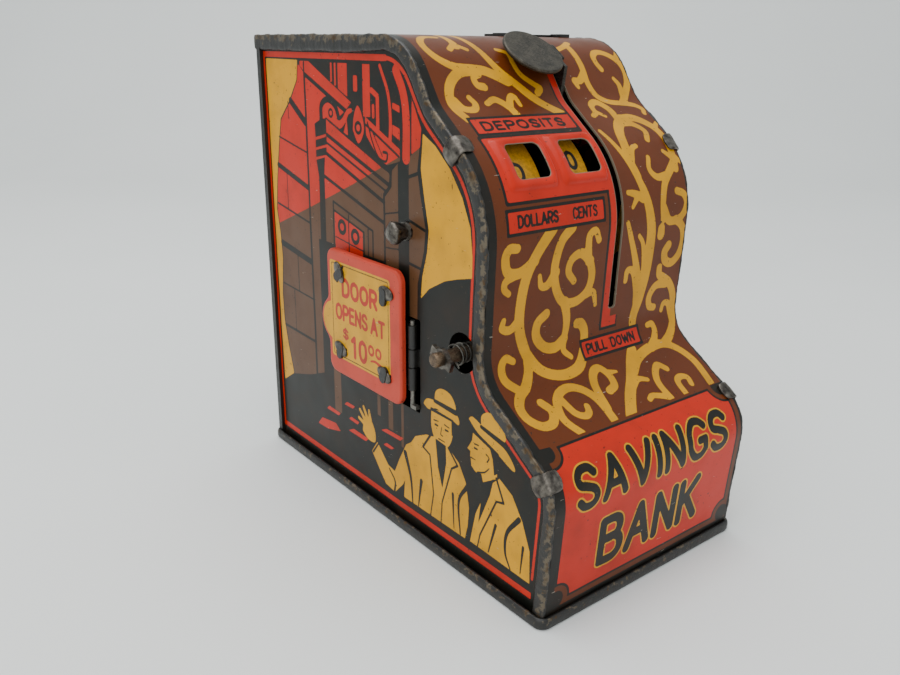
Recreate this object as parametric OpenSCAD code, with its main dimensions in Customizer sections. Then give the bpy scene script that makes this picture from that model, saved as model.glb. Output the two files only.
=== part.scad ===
// Tin register bank: a sheet-metal money box with a pull-down lever, two number drums behind
// windows, a coin slot in the top, a money door on the left side and a reset plunger.
// Frame: X to the right, the curved front faces -Y, Z up. The origin is the centre of the base.

/* [Case] */
// Width over the rolled seams
body_w = 66; // [60:1:90]
// Depth at the base
body_d = 118; // [110:1:160]
// Height of the flat top
body_h = 119.6; // [112:0.2:160]
// Thickness of the tinplate
sheet_t = 0.5; // [0.4:0.1:0.8]
// Width of the rolled seam along the front edges
seam_w = 3; // [2:0.5:5]
// How far the seam stands out from the side panels
seam_proud = 1; // [0.8:0.1:1.5]
// Height of the rolled rim round the base
rim_h = 2.8; // [2:0.2:5]
// Thickness of the rolled rim
rim_t = 1.2; // [0.8:0.1:2]

/* [Front curve] */
// Radius of the shoulder under the flat top
shoulder_r = 16; // [10:1:20]
// Radius of the hollow above the windows
brow_r = 11.4; // [8:0.2:16]
// Radius of the curve that carries the windows
window_r = 25.3; // [20:0.1:30]
// Radius of the hollow under the lever slot
hollow_r = 10.4; // [7:0.2:14]
// Radius of the toe above the name panel
toe_r = 11.8; // [8:0.2:16]

/* [Number drums] */
// Radius of the number drums
drum_r = 25; // [18:0.5:25]
// Width of a drum's number rim
drum_w = 9.4; // [6:0.2:10]
// Left face of the dollars drum
dollars_x = -21; // [-23:0.5:-19]
// Left face of the cents drum
cents_x = -6; // [-7:0.5:-5]
// Tip radius of the ratchet wheels
ratchet_r = 20; // [15:0.5:20.5]
// Teeth on each ratchet wheel
ratchet_teeth = 10; // [8:1:20]
// Radius of the drum axle
axle_r = 1.6; // [1.2:0.1:2.2]
// Length of the peened end that stands out of each side
axle_end = 4.6; // [2:0.2:6]

/* [Windows] */
// Width of a window
window_w = 9.5; // [7:0.5:10]
// Height of a window along the curve, as an angle at the axle
window_a = 17; // [12:1:20]
// Angle of the windows' centre above level, seen from the axle
window_mid = 37; // [33:1:40]

/* [Lever] */
// Plane of the lever arm, from the middle of the case
lever_x = 7.5; // [7:0.5:9]
// Thickness of the lever arm
lever_t = 1; // [0.8:0.1:1.2]
// Width of the lever arm
lever_w = 5.2; // [4:0.2:7]
// Rest angle of the lever above level, towards the front
lever_rest = 79; // [76:1:82]
// Full pull of the lever in degrees
lever_pull = 105; // [80:1:106]
// Reach of the lever from the axle to the middle of the finger disc
lever_reach = 39; // [38:0.5:44]
// Radius of the finger disc
disc_r = 7.6; // [6:0.2:9]
// Thickness of the finger disc
disc_t = 1; // [0.8:0.1:1.5]
// Width of the lever slot
slot_w = 2.2; // [2:0.1:3]

/* [Coin slot] */
// Length of the coin passage
coin_l = 22; // [19:0.5:26]
// Thickness of the coin passage
coin_t = 2.6; // [2:0.1:3.2]
// Middle of the coin slot, from the middle of the case
coin_x = 13.8; // [12:0.2:16]

/* [Money door] */
// Width of the door plate
door_w = 33; // [26:1:34]
// Height of the door plate
door_h = 33.5; // [26:0.5:36]
// Distance from the back of the case to the door
door_back_gap = 37; // [30:1:40]
// Height of the door's lower edge above the base
door_z = 35; // [20:1:38]
// How far the door's face stands out from the side
door_proud = 3; // [2.6:0.1:4]
// Radius of the hinge pin
hinge_pin_r = 0.6; // [0.5:0.05:0.8]

/* [Reset plunger] */
// Radius of the plunger
plunger_r = 1.6; // [1.2:0.1:2.2]
// How far the plunger stands out from the side
plunger_out = 8; // [5:0.5:12]
// Travel of the plunger
plunger_travel = 3; // [2:0.5:4]
// Height of the plunger above the base
plunger_z = 54; // [48:0.5:56]

/* [Fits] */
// Radial running clearance of shafts in their holes
run_gap = 0.06; // [0.02:0.01:0.1]
// Gap between moving pieces that only pass each other
pass_gap = 0.5; // [0.3:0.1:0.7]
// Gap between a pawl's nose and the ratchet tips
pawl_gap = 0.25; // [0.15:0.05:0.5]
// Gap round a tab that goes through a panel
tab_gap = 0.1; // [0.05:0.05:0.2]

/* [Hidden] */
$fn = 64;

// ---- Front curve -------------------------------------------------------------------------------
// Headings are degrees below level, going forwards. An inward normal points into the case.
function ahead(h) = [-cos(h), -sin(h)];
function inward(h) = [sin(h), -cos(h)];

// Degrees of each bend, down is plus
shoulder_a = 56;
brow_a = -18;
window_arc_a = 54;
hollow_a = -58;
toe_a = 59.7;
// Lengths of the straights between the bends
brow_l = 6.6;
label_l = 9.8;
slot_l = 21.8;
slope_l = 16.5;
// One facet on every bend turns by at most this
bend_step = 5;

// Each entry is [radius, angle] for a bend, or [length, 0] for a straight
front_run = [[shoulder_r, shoulder_a], [brow_l, 0], [brow_r, brow_a], [label_l, 0],
    [window_r, window_arc_a], [slot_l, 0], [hollow_r, hollow_a], [slope_l, 0], [toe_r, toe_a]];

// Points [place, heading] along a run that starts at p with heading h
function walk(run, k, p, h) = k == len(run) ? [[p, h]] :
    run[k][1] == 0
    ? concat([[p, h]], walk(run, k + 1, p + run[k][0] * ahead(h), h))
    : let (r = run[k][0], a = run[k][1], n = ceil(abs(a) / bend_step),
           c = p + sign(a) * r * inward(h))
      concat([for (i = [0 : n - 1]) [c - sign(a) * r * inward(h + a * i / n), h + a * i / n]],
             walk(run, k + 1, c - sign(a) * r * inward(h + a), h + a));

free_run = walk(front_run, 0, [0, 0], 0);
toe_end = free_run[len(free_run) - 1];
panel_l = (body_h + toe_end[0].y) / sin(toe_end[1]);
top_l = body_d + toe_end[0].x - panel_l * cos(toe_end[1]);
back_y = body_d / 2;
shoulder_y = back_y - top_l;
front_line = concat([[[back_y, body_h], 0]],
    walk(front_run, 0, [shoulder_y, body_h], 0),
    [[toe_end[0] + [shoulder_y, body_h] + panel_l * ahead(toe_end[1]), toe_end[1]]]);

// The front curve, moved inwards by t
function skin_line(t) = [for (q = front_line) q[0] + t * inward(q[1])];
function flip(list) = [for (i = [len(list) - 1 : -1 : 0]) list[i]];

// ---- Places that follow from the sizes above ---------------------------------------------------
side_x = body_w / 2 - seam_proud;        // outer face of the side panels
side_in = side_x - sheet_t;              // inner face of the side panels
floor_z = sheet_t;                       // upper face of the base pan
top_in = body_h - sheet_t;               // underside of the flat top

axle_y = shoulder_y - 8.2;
axle_z = body_h - 42.1;
skin_min_r = 28.1 - sheet_t;             // least distance from the axle to the inside of the front

window_dollars_x = dollars_x + drum_w / 2 - 0.5;
window_cents_x = cents_x + drum_w / 2 + 0.2;
seam_tab_left = [19, 48];                // points of the front line that carry a clinched ear
seam_tab_right = [21, 44];
seam_tab_w = 3.2;

web_t = 0.8;
rim_wall = 0.5;
hub_r = 3.4;
ratchet_t = 0.6;
dollars_right = dollars_x + drum_w;
cents_right = cents_x + drum_w;
dollars_ratchet_x = dollars_right + 1.6;
dollars_hub_end = dollars_ratchet_x + ratchet_t + 0.4;
cents_ratchet_x = cents_right + 0.7;
cents_hub_end = cents_ratchet_x + ratchet_t + 0.3;
washer_gap = 0.15;                       // side play between hubs on the axle

lever_left = lever_x - lever_t / 2;
lever_right = lever_x + lever_t / 2;
lever_hub_r = 3.6;
lever_hub_end = lever_right + 8.6;
slot_margin = 2;                         // degrees left beyond the arm at each end of the slot
skin_cut_r = 22;                         // the slot and windows are cut from this radius outwards
slot_far_r = 48;
arm_half_a = asin(lever_w / 2 / skin_min_r);
slot_top_a = lever_rest + arm_half_a + slot_margin;
slot_end_a = lever_rest - lever_pull - arm_half_a - slot_margin;

disc_tilt = 35;                          // degrees the disc leans forwards from level at rest
disc_at = round_axle(lever_reach, lever_rest + 3);
disc_x = lever_left - disc_r + 0.6;
disc_ear_w = 5.2;
disc_ear_in = 3;                         // how far the ear reaches into the disc

coin_y = shoulder_y + 4.6;
chute_end_z = body_h - 7;
coin_lip = 3.2;

guard_r = drum_r + 1.2;
guard_from = 112;
guard_to = 207;                          // ends the guard above the door's inner plate

pawl_pivot_r = 27.6;
pawl_pivot_a = 91;
pawl_boss_r = 2.2;
pawl_shaft_r = 1;

hinge_r = hinge_pin_r + 0.5;             // outside radius of the hinge knuckles
door_y1 = back_y - door_back_gap;        // rear edge of the door
door_y0 = door_y1 - door_w;              // front edge of the door
door_x = -side_x - door_proud;           // outer face of the door
hinge_x = -side_x - 0.3;
hinge_y = door_y0 - 1;
door_hole_edge = 3;                      // how much the door overlaps its hole all round
door_corner_r = 3;
door_mid_y = (door_y0 + door_y1) / 2;
door_mid_z = door_z + door_h / 2;
notch_h = door_h * 0.7;                  // height of the notch that lets the hinge through
notch_z = door_z - 1;
notch_front_y = hinge_y - 2.6;

plunger_inset = 6.95;                    // from the inside of the front to the plunger's axis
plunger_y = lookup(plunger_z, [for (p = skin_line(sheet_t)) [p.y, p.x]]) + plunger_inset;
plunger_hole_r = 4.6;
plunger_seat = plunger_travel + 2;       // depth of the guide's plate behind the side panel
guide_t = 0.8;

// ---- Helpers -----------------------------------------------------------------------------------
// Extrudes a (y, z) outline from x0 to x1
module along_x(x0, x1) {
    translate([x0, 0, 0]) rotate([90, 0, 90]) linear_extrude(x1 - x0) children();
}

// Round bar along X about (y, z)
module bar(x0, x1, y, z, r) {
    along_x(x0, x1) translate([y, z]) circle(r);
}

// Round tube along X about (y, z)
module tube(x0, x1, y, z, r, bore) {
    along_x(x0, x1) translate([y, z]) difference() {
        circle(r);
        circle(bore);
    }
}

// Point at a radius and an angle about the axle; angles rise from level towards the front
function round_axle(r, a) = [axle_y - r * cos(a), axle_z + r * sin(a)];

// Sector about the axle from angle a0 to a1, between two radii
module sector(a0, a1, r0, r1) {
    n = ceil((a1 - a0) / 6);
    polygon(concat([for (i = [0 : n]) round_axle(r0, a0 + (a1 - a0) * i / n)],
                   [for (i = [n : -1 : 0])
                       round_axle(r1 / cos((a1 - a0) / n / 2), a0 + (a1 - a0) * i / n)]));
}

module rounded_rect(w, h, r) {
    union() {
        translate([-w / 2 + r, -h / 2]) square([w - 2 * r, h]);
        translate([-w / 2, -h / 2 + r]) square([w, h - 2 * r]);
        for (sx = [-1, 1], sy = [-1, 1]) translate([sx * (w / 2 - r), sy * (h / 2 - r)]) circle(r);
    }
}

// Saw-toothed ratchet outline: the steep faces look towards rising angles
module ratchet_outline(tip, depth, teeth) {
    step = 360 / teeth;
    polygon([for (i = [0 : teeth - 1], k = [0, 1])
        let (a = i * step + (k == 0 ? 0 : 4), r = k == 0 ? tip : tip - depth)
        [-r * cos(a), r * sin(a)]]);
}

// ---- Case --------------------------------------------------------------------------------------
module front_sheet() {
    color("#6b3d1e") difference() {
        union() {
            along_x(-body_w / 2, body_w / 2)
                intersection() {
                    polygon(concat(skin_line(0), flip(skin_line(sheet_t))));
                    translate([-body_d, floor_z]) square([2 * body_d, body_h]);
                }
            // Rolled seams: the sheet's edges fold over the side panels
            for (s = [-1, 1]) along_x(s > 0 ? side_x : -body_w / 2, s > 0 ? body_w / 2 : -side_x)
                intersection() {
                    polygon(concat(skin_line(0), flip(skin_line(seam_w))));
                    translate([-body_d, floor_z]) square([2 * body_d, body_h]);
                }
        }
        // Lever slot
        along_x(lever_x - slot_w / 2, lever_x + slot_w / 2)
            sector(slot_end_a, slot_top_a, skin_cut_r, slot_far_r);
        // Windows
        for (x = [window_dollars_x, window_cents_x])
            along_x(x - window_w / 2, x + window_w / 2)
                sector(window_mid - window_a / 2, window_mid + window_a / 2, skin_cut_r, slot_far_r);
        // Coin slot
        translate([coin_x, coin_y, body_h])
            cube([coin_l + 2 * (sheet_t + tab_gap), coin_t + 2 * (sheet_t + tab_gap), 3], center = true);
    }
}

// A side panel's outline under the front curve
module side_outline() {
    intersection() {
        polygon(concat(skin_line(sheet_t), [[back_y - sheet_t, 0]]));
        translate([-body_d, floor_z]) square([body_d + back_y - sheet_t, body_h]);
    }
}

module left_side() {
    color("#2a2b27") along_x(-side_x, -side_in) difference() {
        side_outline();
        translate([axle_y, axle_z]) circle(axle_r);
        translate([plunger_y, plunger_z]) circle(plunger_hole_r);
        translate([door_mid_y, door_mid_z])
            rounded_rect(door_w - 2 * door_hole_edge, door_h - 2 * door_hole_edge, door_corner_r);
        // Notch for the hinge
        translate([notch_front_y, notch_z]) square([door_y0 + door_hole_edge + 1 - notch_front_y, notch_h]);
    }
}

module right_side() {
    color("#2a2b27") along_x(side_in, side_x) difference() {
        side_outline();
        translate([axle_y, axle_z]) circle(axle_r);
    }
}

module back_panel() {
    color("#2a2b27") {
        translate([-side_x, back_y - sheet_t, floor_z]) cube([2 * side_x, sheet_t, top_in - floor_z]);
        // Edges folded over the side panels
        for (s = [-1, 1]) translate([s > 0 ? side_x : -body_w / 2, back_y - 2, floor_z])
            cube([seam_proud, 2, body_h - seam_w - floor_z]);
    }
}

rim_front_y = toe_end[0].x + shoulder_y + panel_l * ahead(toe_end[1]).x - rim_h * 0.07;
module base_pan() {
    color("#1c1c1a") difference() {
        translate([0, (rim_front_y + back_y) / 2, 0]) linear_extrude(rim_h)
            rounded_rect(body_w + 2 * rim_t, back_y - rim_front_y + 2 * rim_t, rim_t);
        translate([-body_w / 2, rim_front_y, floor_z]) cube([body_w, back_y - rim_front_y, rim_h]);
    }
}

// Clinched ears that lock the seams
module seam_tabs() {
    color("#4c4a46") for (s = [-1, 1], q = s > 0 ? seam_tab_right : seam_tab_left) {
        at = front_line[q][0] + seam_w * 0.9 * inward(front_line[q][1]);
        translate([s > 0 ? body_w / 2 : -body_w / 2 - sheet_t, at.x - seam_tab_w / 2, at.y - seam_tab_w / 2])
            cube([sheet_t, seam_tab_w, seam_tab_w]);
    }
}

// ---- Coin path ---------------------------------------------------------------------------------
module coin_chute() {
    outer = [coin_l + 2 * sheet_t, coin_t + 2 * sheet_t];
    color("#8a8a86") {
        translate([coin_x, coin_y, chute_end_z]) linear_extrude(body_h + 0.6 - chute_end_z) difference() {
            square(outer, center = true);
            square([coin_l, coin_t], center = true);
        }
        // Tabs folded over the top in front of the slot
        for (x = [coin_x - outer.x / 2, coin_x + outer.x / 2 - coin_lip])
            translate([x, coin_y - outer.y / 2 - coin_lip, body_h]) cube([coin_lip, coin_lip + sheet_t, 0.8]);
    }
}

// Curved plate behind the drums that turns coins into the chamber
module coin_guard() {
    color("#8a8a86") along_x(-side_in, side_in) sector(guard_from, guard_to, guard_r, guard_r + sheet_t);
}

// ---- Drums -------------------------------------------------------------------------------------
axle_flare = 0.8;
module axle() {
    color("#77736b") {
        bar(-side_x - axle_end, side_x + axle_end, axle_y, axle_z, axle_r);
        // Flared root of each peened end, tight against the side panel
        bar(-side_x - axle_flare, -side_x, axle_y, axle_z, axle_r + 0.5);
        bar(side_x, side_x + axle_flare, axle_y, axle_z, axle_r + 0.5);
    }
}

module axle_spacers() {
    color("#8a8a86") {
        tube(-side_in, dollars_x - washer_gap, axle_y, axle_z, axle_r + 1, axle_r);
        tube(dollars_hub_end + washer_gap, cents_x - washer_gap, axle_y, axle_z, axle_r + 1, axle_r);
        tube(lever_hub_end + washer_gap, side_in, axle_y, axle_z, axle_r + 1, axle_r);
    }
}

module drum(x, hub_end) {
    tube(x, x + drum_w, axle_y, axle_z, drum_r, drum_r - rim_wall);
    tube(x, x + web_t, axle_y, axle_z, drum_r - rim_wall / 2, axle_r + run_gap);
    tube(x, hub_end, axle_y, axle_z, hub_r, axle_r + run_gap);
}

module ratchet(x) {
    along_x(x, x + ratchet_t) translate([axle_y, axle_z]) difference() {
        ratchet_outline(ratchet_r, 3, ratchet_teeth);
        circle(hub_r);
        for (i = [0 : 4]) rotate(i * 72) translate([ratchet_r * 0.5, 0]) circle(3);
    }
}

module cents_drum() { color("#d9ab08") drum(cents_x, cents_hub_end); }
module dollars_drum() { color("#d9ab08") drum(dollars_x, dollars_hub_end); }
module cents_ratchet() { color("#8a8a86") ratchet(cents_ratchet_x); }
module dollars_ratchet() { color("#8a8a86") ratchet(dollars_ratchet_x); }

// Finger on the cents drum that carries the dollars ratchet on once a turn
module transfer_finger() {
    finger_x = dollars_ratchet_x + ratchet_t + pass_gap;
    color("#8a8a86") along_x(finger_x, cents_x)
        sector(200, 212, 14, 16.5);
}

module pawl_shaft() {
    at = round_axle(pawl_pivot_r, pawl_pivot_a);
    color("#77736b") bar(-side_in, side_in, at.x, at.y, pawl_shaft_r);
}

// Holding pawl: a boss on its shaft and a nose over the ratchet
module holding_pawl(x) {
    at = round_axle(pawl_pivot_r, pawl_pivot_a);
    nose = round_axle(ratchet_r + pawl_gap + 0.5, pawl_pivot_a + 24);
    color("#8a8a86") along_x(x - 0.1, x + ratchet_t + 0.1) difference() {
        union() {
            translate(at) circle(pawl_boss_r);
            hull() {
                translate(at) circle(1.6, $fn = 24);
                translate(nose) circle(0.5, $fn = 24);
            }
        }
        translate(at) circle(pawl_shaft_r + run_gap);
    }
}

module cents_pawl() { holding_pawl(cents_ratchet_x); }
module dollars_pawl() { holding_pawl(dollars_ratchet_x); }

module pawl_spacers() {
    at = round_axle(pawl_pivot_r, pawl_pivot_a);
    color("#77736b") {
        tube(-side_in, dollars_ratchet_x - 0.1 - washer_gap, at.x, at.y, 1.8, pawl_shaft_r);
        tube(dollars_ratchet_x + ratchet_t + 0.1 + washer_gap, cents_ratchet_x - 0.1 - washer_gap,
            at.x, at.y, 1.8, pawl_shaft_r);
        tube(cents_ratchet_x + ratchet_t + 0.1 + washer_gap, side_in, at.x, at.y, 1.8, pawl_shaft_r);
    }
}

// ---- Lever -------------------------------------------------------------------------------------
drive_r = 24.6;                          // radius of the drive pawl's rivet
drive_a = lever_rest;
drive_rivet_r = 0.9;

// Flat arm, cut off under the finger disc
module lever_arm() {
    tip = round_axle(lever_reach - 1, lever_rest + 1);
    color("#4c4a46") {
        along_x(lever_left, lever_right) difference() {
            union() {
                translate([axle_y, axle_z]) circle(5);
                hull() {
                    translate([axle_y, axle_z]) circle(lever_w / 2 + 0.6, $fn = 32);
                    translate(tip) circle(lever_w / 2, $fn = 32);
                }
            }
            translate([axle_y, axle_z]) circle(lever_hub_r);
            translate(round_axle(drive_r, drive_a)) circle(drive_rivet_r);
            translate(disc_at) rotate(disc_tilt) translate([-disc_r * 2, -disc_t / 2])
                square([disc_r * 4, disc_r * 2]);
        }
    }
}

// Finger disc with the ear that joins it to the arm
module lever_disc() {
    color("#3c3a37") translate([disc_x, disc_at.x, disc_at.y]) rotate([disc_tilt, 0, 0]) {
        cylinder(h = disc_t, r = disc_r, center = true);
        translate([disc_r - disc_ear_in, -disc_ear_w / 2, -disc_t / 2])
            cube([lever_right - disc_x - disc_r + disc_ear_in, disc_ear_w, disc_t]);
    }
}

module lever_hub() {
    color("#77736b") difference() {
        union() {
            bar(cents_hub_end + washer_gap, lever_hub_end, axle_y, axle_z, lever_hub_r);
            bar(lever_right, lever_right + 0.8, axle_y, axle_z, lever_hub_r + 1.4);
        }
        bar(cents_hub_end - 1, lever_hub_end + 1, axle_y, axle_z, axle_r + run_gap);
    }
}

// Torsion spring round the hub, its legs against the arm and the coin guard
spring_wire = 0.4;
module lever_spring() {
    coils = 6;
    coil_r = lever_hub_r + 0.3 + spring_wire;
    x0 = lever_right + 1.6;
    color("#a09c92") {
        for (i = [0 : coils - 1]) translate([x0 + i * 2 * spring_wire * 0.96, axle_y, axle_z])
            rotate([0, 90, 0]) rotate_extrude() translate([coil_r, 0]) circle(spring_wire, $fn = 16);
        translate([x0 - spring_wire / 2, axle_y - coil_r, axle_z]) rotate([-lever_rest + 90, 0, 0])
            cylinder(h = 12, r = spring_wire, $fn = 16);
        translate([x0 + (coils - 1) * 2 * spring_wire * 0.96, axle_y, axle_z + coil_r]) rotate([-90, 0, 0])
            cylinder(h = sqrt(guard_r * guard_r - coil_r * coil_r) - pass_gap, r = spring_wire, $fn = 16);
    }
}

module drive_pawl() {
    at = round_axle(drive_r, drive_a);
    nose = round_axle(ratchet_r + pawl_gap + 0.5, drive_a - 26);
    color("#8a8a86") along_x(cents_ratchet_x - 0.1, cents_ratchet_x + ratchet_t + 0.1) difference() {
        union() {
            translate(at) circle(1.9);
            hull() {
                translate(at) circle(1.5, $fn = 24);
                translate(nose) circle(0.5, $fn = 24);
            }
        }
        translate(at) circle(drive_rivet_r + run_gap);
    }
}

module drive_pawl_rivet() {
    at = round_axle(drive_r, drive_a);
    color("#77736b") {
        bar(cents_ratchet_x - 0.4, lever_right + 0.5, at.x, at.y, drive_rivet_r);
        bar(cents_ratchet_x - 0.6, cents_ratchet_x - 0.25, at.x, at.y, drive_rivet_r + 0.5);
        bar(lever_right, lever_right + 0.6, at.x, at.y, drive_rivet_r + 0.6);
    }
}

// ---- Money door --------------------------------------------------------------------------------
lobe_h = 12;                             // finger lobe on the door's rear edge
lobe_out = 3.5;
lobe_z = -2.5;
door_rim = 1.6;
ear_l = 4.4;                             // clinched ears over the door's face
ear_w = 2.4;
ear_t = 0.7;
// Each clinched ear's place from the door's middle, and its turn
door_ears = [[-10.2, 10.6, 55], [9.8, 9.4, 5], [-10.4, -10, 20], [9.6, -10.4, 20]];

// Round lobe that stands out by lobe_out beyond a plate's edge at y = 0
module lobe() {
    reach = lobe_out + door_corner_r;
    lobe_r = (lobe_h * lobe_h / 4 + reach * reach) / 2 / reach;
    intersection() {
        translate([lobe_out - lobe_r, lobe_z]) circle(lobe_r);
        translate([-door_corner_r, lobe_z - lobe_h]) square([lobe_out + door_corner_r + 1, 2 * lobe_h]);
    }
}

module ear_slots(gap) {
    for (e = door_ears) translate([door_mid_y - e.x, door_mid_z + e.y])
        square([ear_w + 2 * gap, 2 * ear_t + 2 * gap], center = true);
}

// Door pan with its finger lobe and turned-in rim
module door_plate() {
    color("#d9ab08") {
        along_x(door_x, door_x + sheet_t) difference() {
            union() {
                translate([door_mid_y, door_mid_z]) rounded_rect(door_w, door_h, door_corner_r);
                translate([door_y1, door_mid_z]) lobe();
            }
            ear_slots(tab_gap);
        }
        along_x(door_x, door_x + door_rim) translate([door_mid_y, door_mid_z]) difference() {
            rounded_rect(door_w, door_h, door_corner_r);
            rounded_rect(door_w - 2 * sheet_t, door_h - 2 * sheet_t, door_corner_r - sheet_t);
        }
    }
}

knuckle_h = 5.6;
knuckle_gap = 0.3;
inner_inset = door_hole_edge + 1;
knuckle_z0 = door_z + inner_inset + 0.5; // lower knuckle
knuckle_z1 = notch_z + notch_h - 1.8 - knuckle_h;

// Plate behind the door: four ears clinched over the door's face and two hinge straps
module door_inner_plate() {
    color("#77736b") difference() {
        union() {
            along_x(-side_x, -side_in) translate([door_mid_y, door_mid_z])
                rounded_rect(door_w - 2 * inner_inset, door_h - 2 * inner_inset, door_corner_r - 0.5);
            along_x(door_x - ear_t / 2, -side_x) ear_slots(0);
            for (e = door_ears)
                along_x(door_x - ear_t, door_x) translate([door_mid_y - e.x, door_mid_z + e.y])
                    rotate(e.z) rounded_rect(ear_w, ear_l, ear_w / 2 - 0.1);
            for (z = [knuckle_z0, knuckle_z1]) {
                translate([hinge_x, hinge_y, z]) cylinder(h = knuckle_h, r = hinge_r);
                translate([-side_x, hinge_y + hinge_pin_r + 0.2, z])
                    cube([sheet_t, door_y0 + inner_inset + 1 - hinge_y - hinge_pin_r - 0.2, knuckle_h]);
            }
        }
        translate([hinge_x, hinge_y, 0]) cylinder(h = body_h, r = hinge_pin_r + run_gap);
    }
}

// Hinge leaf inside the side panel, its knuckle between the door's two
module door_hinge_leaf() {
    z0 = knuckle_z0 + knuckle_h + knuckle_gap;
    z1 = knuckle_z1 - knuckle_gap;
    color("#4c4a46") difference() {
        union() {
            translate([hinge_x, hinge_y, z0]) cylinder(h = z1 - z0, r = hinge_r);
            translate([-side_in, hinge_y - 8, z0]) cube([sheet_t, 8, z1 - z0]);
            translate([hinge_x, hinge_y - hinge_r, z0])
                cube([-side_in + sheet_t - hinge_x, sheet_t, z1 - z0]);
        }
        translate([hinge_x, hinge_y, 0]) cylinder(h = body_h, r = hinge_pin_r);
    }
}

// Hinge pin with its lower end bent over
module door_hinge_pin() {
    pin_z = notch_z + 0.8;
    pin_over = 1.2;
    color("#8f98a0") {
        translate([hinge_x, hinge_y, pin_z])
            cylinder(h = knuckle_z1 + knuckle_h + pin_over - pin_z, r = hinge_pin_r);
        translate([hinge_x - hinge_pin_r, hinge_y - 2, pin_z]) cube([2 * hinge_pin_r, 2, 1]);
    }
}

door_lock_y = door_y1 + 7;
door_lock_z = door_mid_z + 8;
door_lock_pin_r = 0.9;
lock_arm_l = 12.5;
lock_arm_t = 0.8;
striker_in = 3.4;
striker_w = 3;

// Striker on the door's inner plate, which the lock arm catches
module door_striker() {
    y0 = door_y1 - inner_inset - 2.4;
    z0 = door_lock_z - 2.5 - striker_w;
    color("#77736b") {
        translate([-side_in, y0, z0]) cube([striker_in, lock_arm_t, striker_w]);
        translate([-side_in + striker_in - lock_arm_t, y0, z0]) cube([lock_arm_t, 2.4, striker_w]);
    }
}

// Lock arm inside the case, shown let go; it turns down behind the striker to lock the door
module door_lock_arm() {
    x0 = -side_in + pass_gap;
    color("#8a8a86") along_x(x0, x0 + lock_arm_t) translate([door_lock_y, door_lock_z]) difference() {
        union() {
            circle(2.2);
            translate([-lock_arm_l, -1.1]) square([lock_arm_l, 2.4]);
            translate([0, -1.4]) square([9, 2.8]);
        }
        circle(door_lock_pin_r + run_gap);
    }
}

// Stud that the lock arm turns on
module door_lock_rivet() {
    head_x = -side_in + pass_gap + lock_arm_t + washer_gap;
    color("#77736b") {
        bar(-side_in, head_x + 0.5, door_lock_y, door_lock_z, door_lock_pin_r);
        bar(head_x, head_x + 0.5, door_lock_y, door_lock_z, door_lock_pin_r + 0.7);
    }
}

// ---- Reset plunger -----------------------------------------------------------------------------
plunger_stop_x = -side_in + plunger_seat + guide_t + washer_gap;

// Plunger with the head that stops it against the back of its guide
module plunger_rod() {
    color("#8a6f52") {
        bar(-side_x - plunger_out, plunger_stop_x + 1, plunger_y, plunger_z, plunger_r);
        bar(plunger_stop_x, plunger_stop_x + 1, plunger_y, plunger_z, plunger_r + 1);
    }
}

// Collar with two flat ears, pressed on the plunger near its outer end
module plunger_collar() {
    x0 = -side_x - plunger_out + 2;
    color("#7b8a90") along_x(x0, x0 + 1) translate([plunger_y, plunger_z]) difference() {
        union() {
            circle(plunger_r + 0.7);
            for (a = [20, 200]) rotate(a) translate([0, -1.2]) square([plunger_r + 2, 2.4]);
        }
        circle(plunger_r);
    }
}

// Coil spring in front of the guide
module plunger_spring() {
    wire = 0.3;
    coils = 5;
    pitch = (plunger_seat + sheet_t - 2 * wire) / (coils - 1);
    coil_r = plunger_r + 0.1 + wire;
    color("#a09c92") {
        for (i = [0 : coils - 1])
            translate([-side_x - wire + i * pitch, plunger_y, plunger_z]) rotate([0, 90, 0])
                rotate_extrude($fn = 32) translate([coil_r, 0]) circle(wire, $fn = 32);
    }
}

// Bracket inside the side panel that guides the plunger
module plunger_guide() {
    leg_y = plunger_hole_r + 1.4;
    guide_h = 6;
    leg_t = 1.2;
    plate_x = -side_in + plunger_seat;
    color("#4c4a46") difference() {
        union() {
            translate([plate_x, plunger_y - leg_y - leg_t / 2, plunger_z - guide_h / 2])
                cube([guide_t, 2 * leg_y + leg_t, guide_h]);
            for (s = [-1, 1])
                translate([-side_in, plunger_y + s * leg_y - leg_t / 2, plunger_z - guide_h / 2])
                    cube([plunger_seat + guide_t, leg_t, guide_h]);
        }
        bar(plate_x - 1, plate_x + guide_t + 1, plunger_y, plunger_z, plunger_r + run_gap);
    }
}

front_sheet();
left_side();
right_side();
back_panel();
base_pan();
seam_tabs();
coin_chute();
coin_guard();
axle();
axle_spacers();
cents_drum();
cents_ratchet();
transfer_finger();
dollars_drum();
dollars_ratchet();
pawl_shaft();
cents_pawl();
dollars_pawl();
pawl_spacers();
lever_arm();
lever_disc();
lever_hub();
lever_spring();
drive_pawl();
drive_pawl_rivet();
door_plate();
door_inner_plate();
door_hinge_leaf();
door_hinge_pin();
door_lock_arm();
door_lock_rivet();
door_striker();
plunger_rod();
plunger_collar();
plunger_spring();
plunger_guide();
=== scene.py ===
"""Looks of a lithographed tin register bank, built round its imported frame.

Lengths in the functions below are millimetres; MM turns them to metres where a mesh is made.
x runs to the right. s runs along the front sheet from its back edge, over the top and down the front.
On a side panel, d runs forwards from the back edge and z up.
"""

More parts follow.
